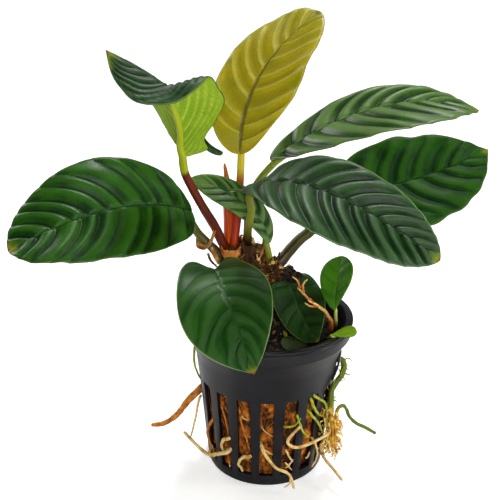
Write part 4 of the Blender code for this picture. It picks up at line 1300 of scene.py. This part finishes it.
def makeMoss():
    random.seed(moss["seed"])
    bm = bmesh.new()
    for i in range(moss["count"]):
        x, y = (random.gauss(middle, moss["spread"]) for middle in moss["middle"])
        if math.hypot(x, y) > moss["edge"]:
            continue
        start = Vector((x, y, soilHeight(x, y)))
        drift = draw(1.4, 1.4)
        rise = random.uniform(0.6, 2.4)
        addTube(bm, (start, start + drift * 0.4 + Vector((0, 0, rise * 0.7)),
                     start + drift + Vector((0, 0, rise))), random.uniform(0.07, 0.15), 4, 10, 0.5,
                tint=random.uniform(0.2, 0.9))
    finishSkin("moss_strands", bm, roughMaterials["moss"])


makeSoil()
makeCrumbs()
makeMoss()
print("soil made")

# Rhizome with its rings and scars, and the torn dry sheaths of the crown
rhizome = dict(points=((1.2, 4.8, 52.0), (-0.6, 4.4, 56.6), (-2.0, 3.8, 61.0), (-3.8, 3.2, 66.0),
                       (-5.6, 2.6, 71.0)), radius=3.7)
rhizomePath = [Vector(p) for p in rhizome["points"]]


def barkShape(angle, v):
    place = (3 * math.cos(angle), 3 * math.sin(angle), 9 * v)
    return 1 + 0.22 * rough(place, 1.2) + 0.10 * rough(place, 0.4, 5)


bm = bmesh.new()
addTube(bm, rhizome["points"],
        lambda v: rhizome["radius"] * (1 - 0.1 * v) * (1 + 0.07 * math.sin(42 * v)), 64, 110,
        shape=barkShape)
finishSkin("rhizome_bark", bm, roughMaterials["rhizomeBark"], ["rhizome"])


def addStrip(bm, points, width, twist=0.0, cup=0.5, columns=6, rows=22, tear=0.3, start=0.0,
             tint=None):
    # A flake of dry sheath along a path, cupped across and torn at its end
    path, length = evenPath(smoothPath(points, 6), 40)
    tintLayer = tintOf(bm)
    made = bmesh.ops.create_grid(bm, x_segments=columns, y_segments=rows, size=1.0)["verts"]
    normal = (path[1] - path[0]).orthogonal().normalized()
    frames = []
    for k in range(rows + 1):
        f = k / rows
        ahead = (pointOn(path, f + 0.02) - pointOn(path, f - 0.02)).normalized()
        normal = (normal - ahead * normal.dot(ahead)).normalized()
        turned = Matrix.Rotation(start + twist * f, 3, ahead) @ normal
        frames.append((pointOn(path, f), turned, ahead.cross(turned)))
    tint = random.uniform(0.1, 0.95) if tint is None else tint
    for vert in made:
        k = round((vert.co.y + 1) / 2 * rows)
        f, u = k / rows, vert.co.x
        centre, out, side = frames[k]
        ragged = 1 + tear * rough((f * 9, u * 2, points[0][0]), 1.0)
        half = width / 2 * (0.35 + 0.65 * math.sin(math.pi * min(1, 0.12 + f * 0.84))) * ragged
        bend = cup * width * (u * u - 0.4)
        vert.co = (centre + side * (u * half) + out * (bend + 0.12 * rough(
            (f * 12, u * 3, points[0][1]), 1.0))) * mm
        vert[tintLayer] = tint


scraps = [  # path, width, cup, start angle and tint of the larger dry strips
    (((-15.9, -0.9, 76.5), (-16.4, -1.3, 75.0), (-17.2, -1.2, 72.8), (-18.4, -0.4, 71.1),
      (-20.0, 0.8, 70.4), (-21.2, 2.4, 71.4), (-21.0, 3.6, 73.4)), 2.0, 0.3, 0.4, 0.62),
    (((-18.1, 0.2, 68.9), (-17.2, -0.3, 66.8), (-15.4, -0.6, 64.9)), 1.3, 0.3, 0.0, 0.45),
    (((-16.9, 0.4, 70.8), (-15.8, -0.4, 68.4), (-14.6, -0.8, 66.0)), 1.8, 0.3, 1.2, 0.7),
    (((-4.4, 1.2, 77.6), (-3.0, 0.4, 77.0), (-1.9, 0.0, 74.4), (-2.1, -0.2, 71.0),
      (-3.1, 0.0, 67.6)), 2.8, 0.25, 0.2, 0.7),
    (((-7.9, -2.0, 74.0), (-7.6, -2.8, 72.6), (-7.0, -2.2, 70.2)), 1.8, 0.5, 0.6, 0.02),
    (((-5.2, -2.2, 73.0), (-5.0, -2.8, 71.4), (-5.4, -2.4, 69.0)), 1.3, 0.5, 0.9, 0.1),
]
dryBits = dict(count=190, seed=44, thickness=0.16,
               # the space at the foot of the middle and rear right stalks
               foot=((-4.0, 3.5), (-2.8, 1.6), (61.0, 68.5)))
# the grey film on the wall beside the green root
wallFilm = dict(points=((22.2, -4.6, 40.0), (21.9, -4.4, 37.0), (21.2, -5.6, 34.0),
                        (19.8, -8.0, 31.4)), width=2.4, seed=5, thickness=0.16)


def makeScraps():
    random.seed(dryBits["seed"])
    bm = bmesh.new()
    for points, width, cup, start, tint in scraps:
        addStrip(bm, points, width, 0.5, cup, start=start, tint=tint)
    for i in range(dryBits["count"]):
        middle = pointOn(rhizomePath, 0.2 + 0.8 * random.random())
        outward = roundabout(-0.2, 0.6)
        begin = middle + outward * random.uniform(2.8, 4.2)
        if i % 3 == 0:
            begin = draw(*dryBits["foot"])
        drift = draw(1.2, 1.2, (-0.4, 2.0))
        addStrip(bm, (begin, begin + drift * 0.5 + outward * 0.4, begin + drift + outward * 0.7),
                 random.uniform(0.4, 1.2), random.uniform(-1.5, 1.5), 0.4, 4, 8, 0.5,
                 random.uniform(0, 6.3), random.random() ** 2.2)
    weld(bm, 0.0005)
    piece = finishSkin("dry_scraps", bm, roughMaterials["drySheath"])
    thicken(piece, dryBits["thickness"])
    random.seed(wallFilm["seed"])
    bm = bmesh.new()
    addStrip(bm, wallFilm["points"], wallFilm["width"], 0.1, 0.05, tear=0.6, start=0.6)
    piece = finishSkin("wall_film", bm, roughMaterials["greyFilm"])
    thicken(piece, wallFilm["thickness"])


makeScraps()


# Torn sheath cups round the base of the stalks
cups = [  # centre, radii, height, extra height at the sides, flare, start and sweep angles
    dict(centre=(-11.4, 3.2, 65.6), radii=(3.2, 4.5), height=4.9, horns=2.3, flare=1.1,
         start=0.0, sweep=6.3, tear=0.10, tint=0.60),
    dict(centre=(-6.4, 0.6, 66.4), radii=(2.2, 2.5), height=5.4, horns=0.4, flare=0.55,
         start=1.0, sweep=5.9, tear=0.10, tint=0.05),
    dict(centre=(1.0, 3.2, 61.0), radii=(2.8, 3.0), height=3.0, horns=0.6, flare=1.0,
         start=2.4, sweep=4.6, tear=0.15, tint=0.2),
]
cupThickness = 0.3
crownCore = dict(centre=(-10.6, 2.8, 67.4), size=(5.2, 3.4, 3.0), tint=0.35)


def makeCups():
    bm = bmesh.new()
    tintLayer = tintOf(bm)
    for n, cup in enumerate(cups):
        made = bmesh.ops.create_grid(bm, x_segments=56, y_segments=18, size=1.0)["verts"]
        for vert in made:
            f = (vert.co.y + 1) / 2
            angle = cup["start"] + cup["sweep"] * (vert.co.x + 1) / 2
            torn = 1 + cup["tear"] * (rough((angle * 1.6, n * 5, 0), 1.0)
                                      + rough((angle * 6, n * 5, 2), 1.0))
            rise = cup["height"] * f * torn + cup["horns"] * f * f * math.cos(angle) ** 4
            grow = 0.55 + 0.45 * ease(f * 1.6) + (cup["flare"] - 1) * f
            ripple = 1 + 0.06 * math.sin(5 * angle + n) * f
            ripple += 0.03 * rough((angle * 4, f * 4, n), 1.0)
            vert.co = Vector((cup["centre"][0] + cup["radii"][0] * grow * ripple * math.cos(angle),
                              cup["centre"][1] + cup["radii"][1] * grow * ripple * math.sin(angle),
                              cup["centre"][2] + rise)) * mm
            vert[tintLayer] = cup["tint"] + 0.25 * rough((angle * 2, f * 3, n), 1.0)
    piece = finishSkin("crown_sheath_cups", bm, roughMaterials["collar"])
    thicken(piece, cupThickness)
    # the dark growing end inside the cups
    bm = bmesh.new()
    tintLayer = tintOf(bm)
    core = bmesh.ops.create_icosphere(bm, subdivisions=5, radius=1.0)["verts"]
    for vert in core:
        knobbly = 1 + 0.16 * rough(vert.co, 0.5) + 0.08 * rough(vert.co, 0.16)
        vert.co = (vert.co * Vector(crownCore["size"]) * knobbly + Vector(crownCore["centre"])) * mm
        vert[tintLayer] = crownCore["tint"]
    finishSkin("crown_core", bm, roughMaterials["rhizomeBark"], ["crown_collar"])


makeCups()

# Fine fibres on the rhizome and crown
fineFibres = dict(count=160, seed=77)
random.seed(fineFibres["seed"])
bm = bmesh.new()
for i in range(fineFibres["count"]):
    core = pointOn(rhizomePath, random.uniform(0.2, 1.0))
    if i % 3 == 0:
        core = Vector((random.uniform(-15, -6), 2.4, random.uniform(65, 69)))
    outward = roundabout(-0.3, 0.5)
    begin = core + outward * 3.0
    drift = draw(2, 2, 2.5)
    addTube(bm, (begin, begin + drift * 0.5 + outward * 0.8, begin + drift + outward * 0.6),
            random.uniform(0.05, 0.12), 4, 11, 0.6, tint=random.uniform(0.3, 1.0))
finishSkin("rhizome_fibres", bm, roughMaterials["coirFibre"])
print("crown made")
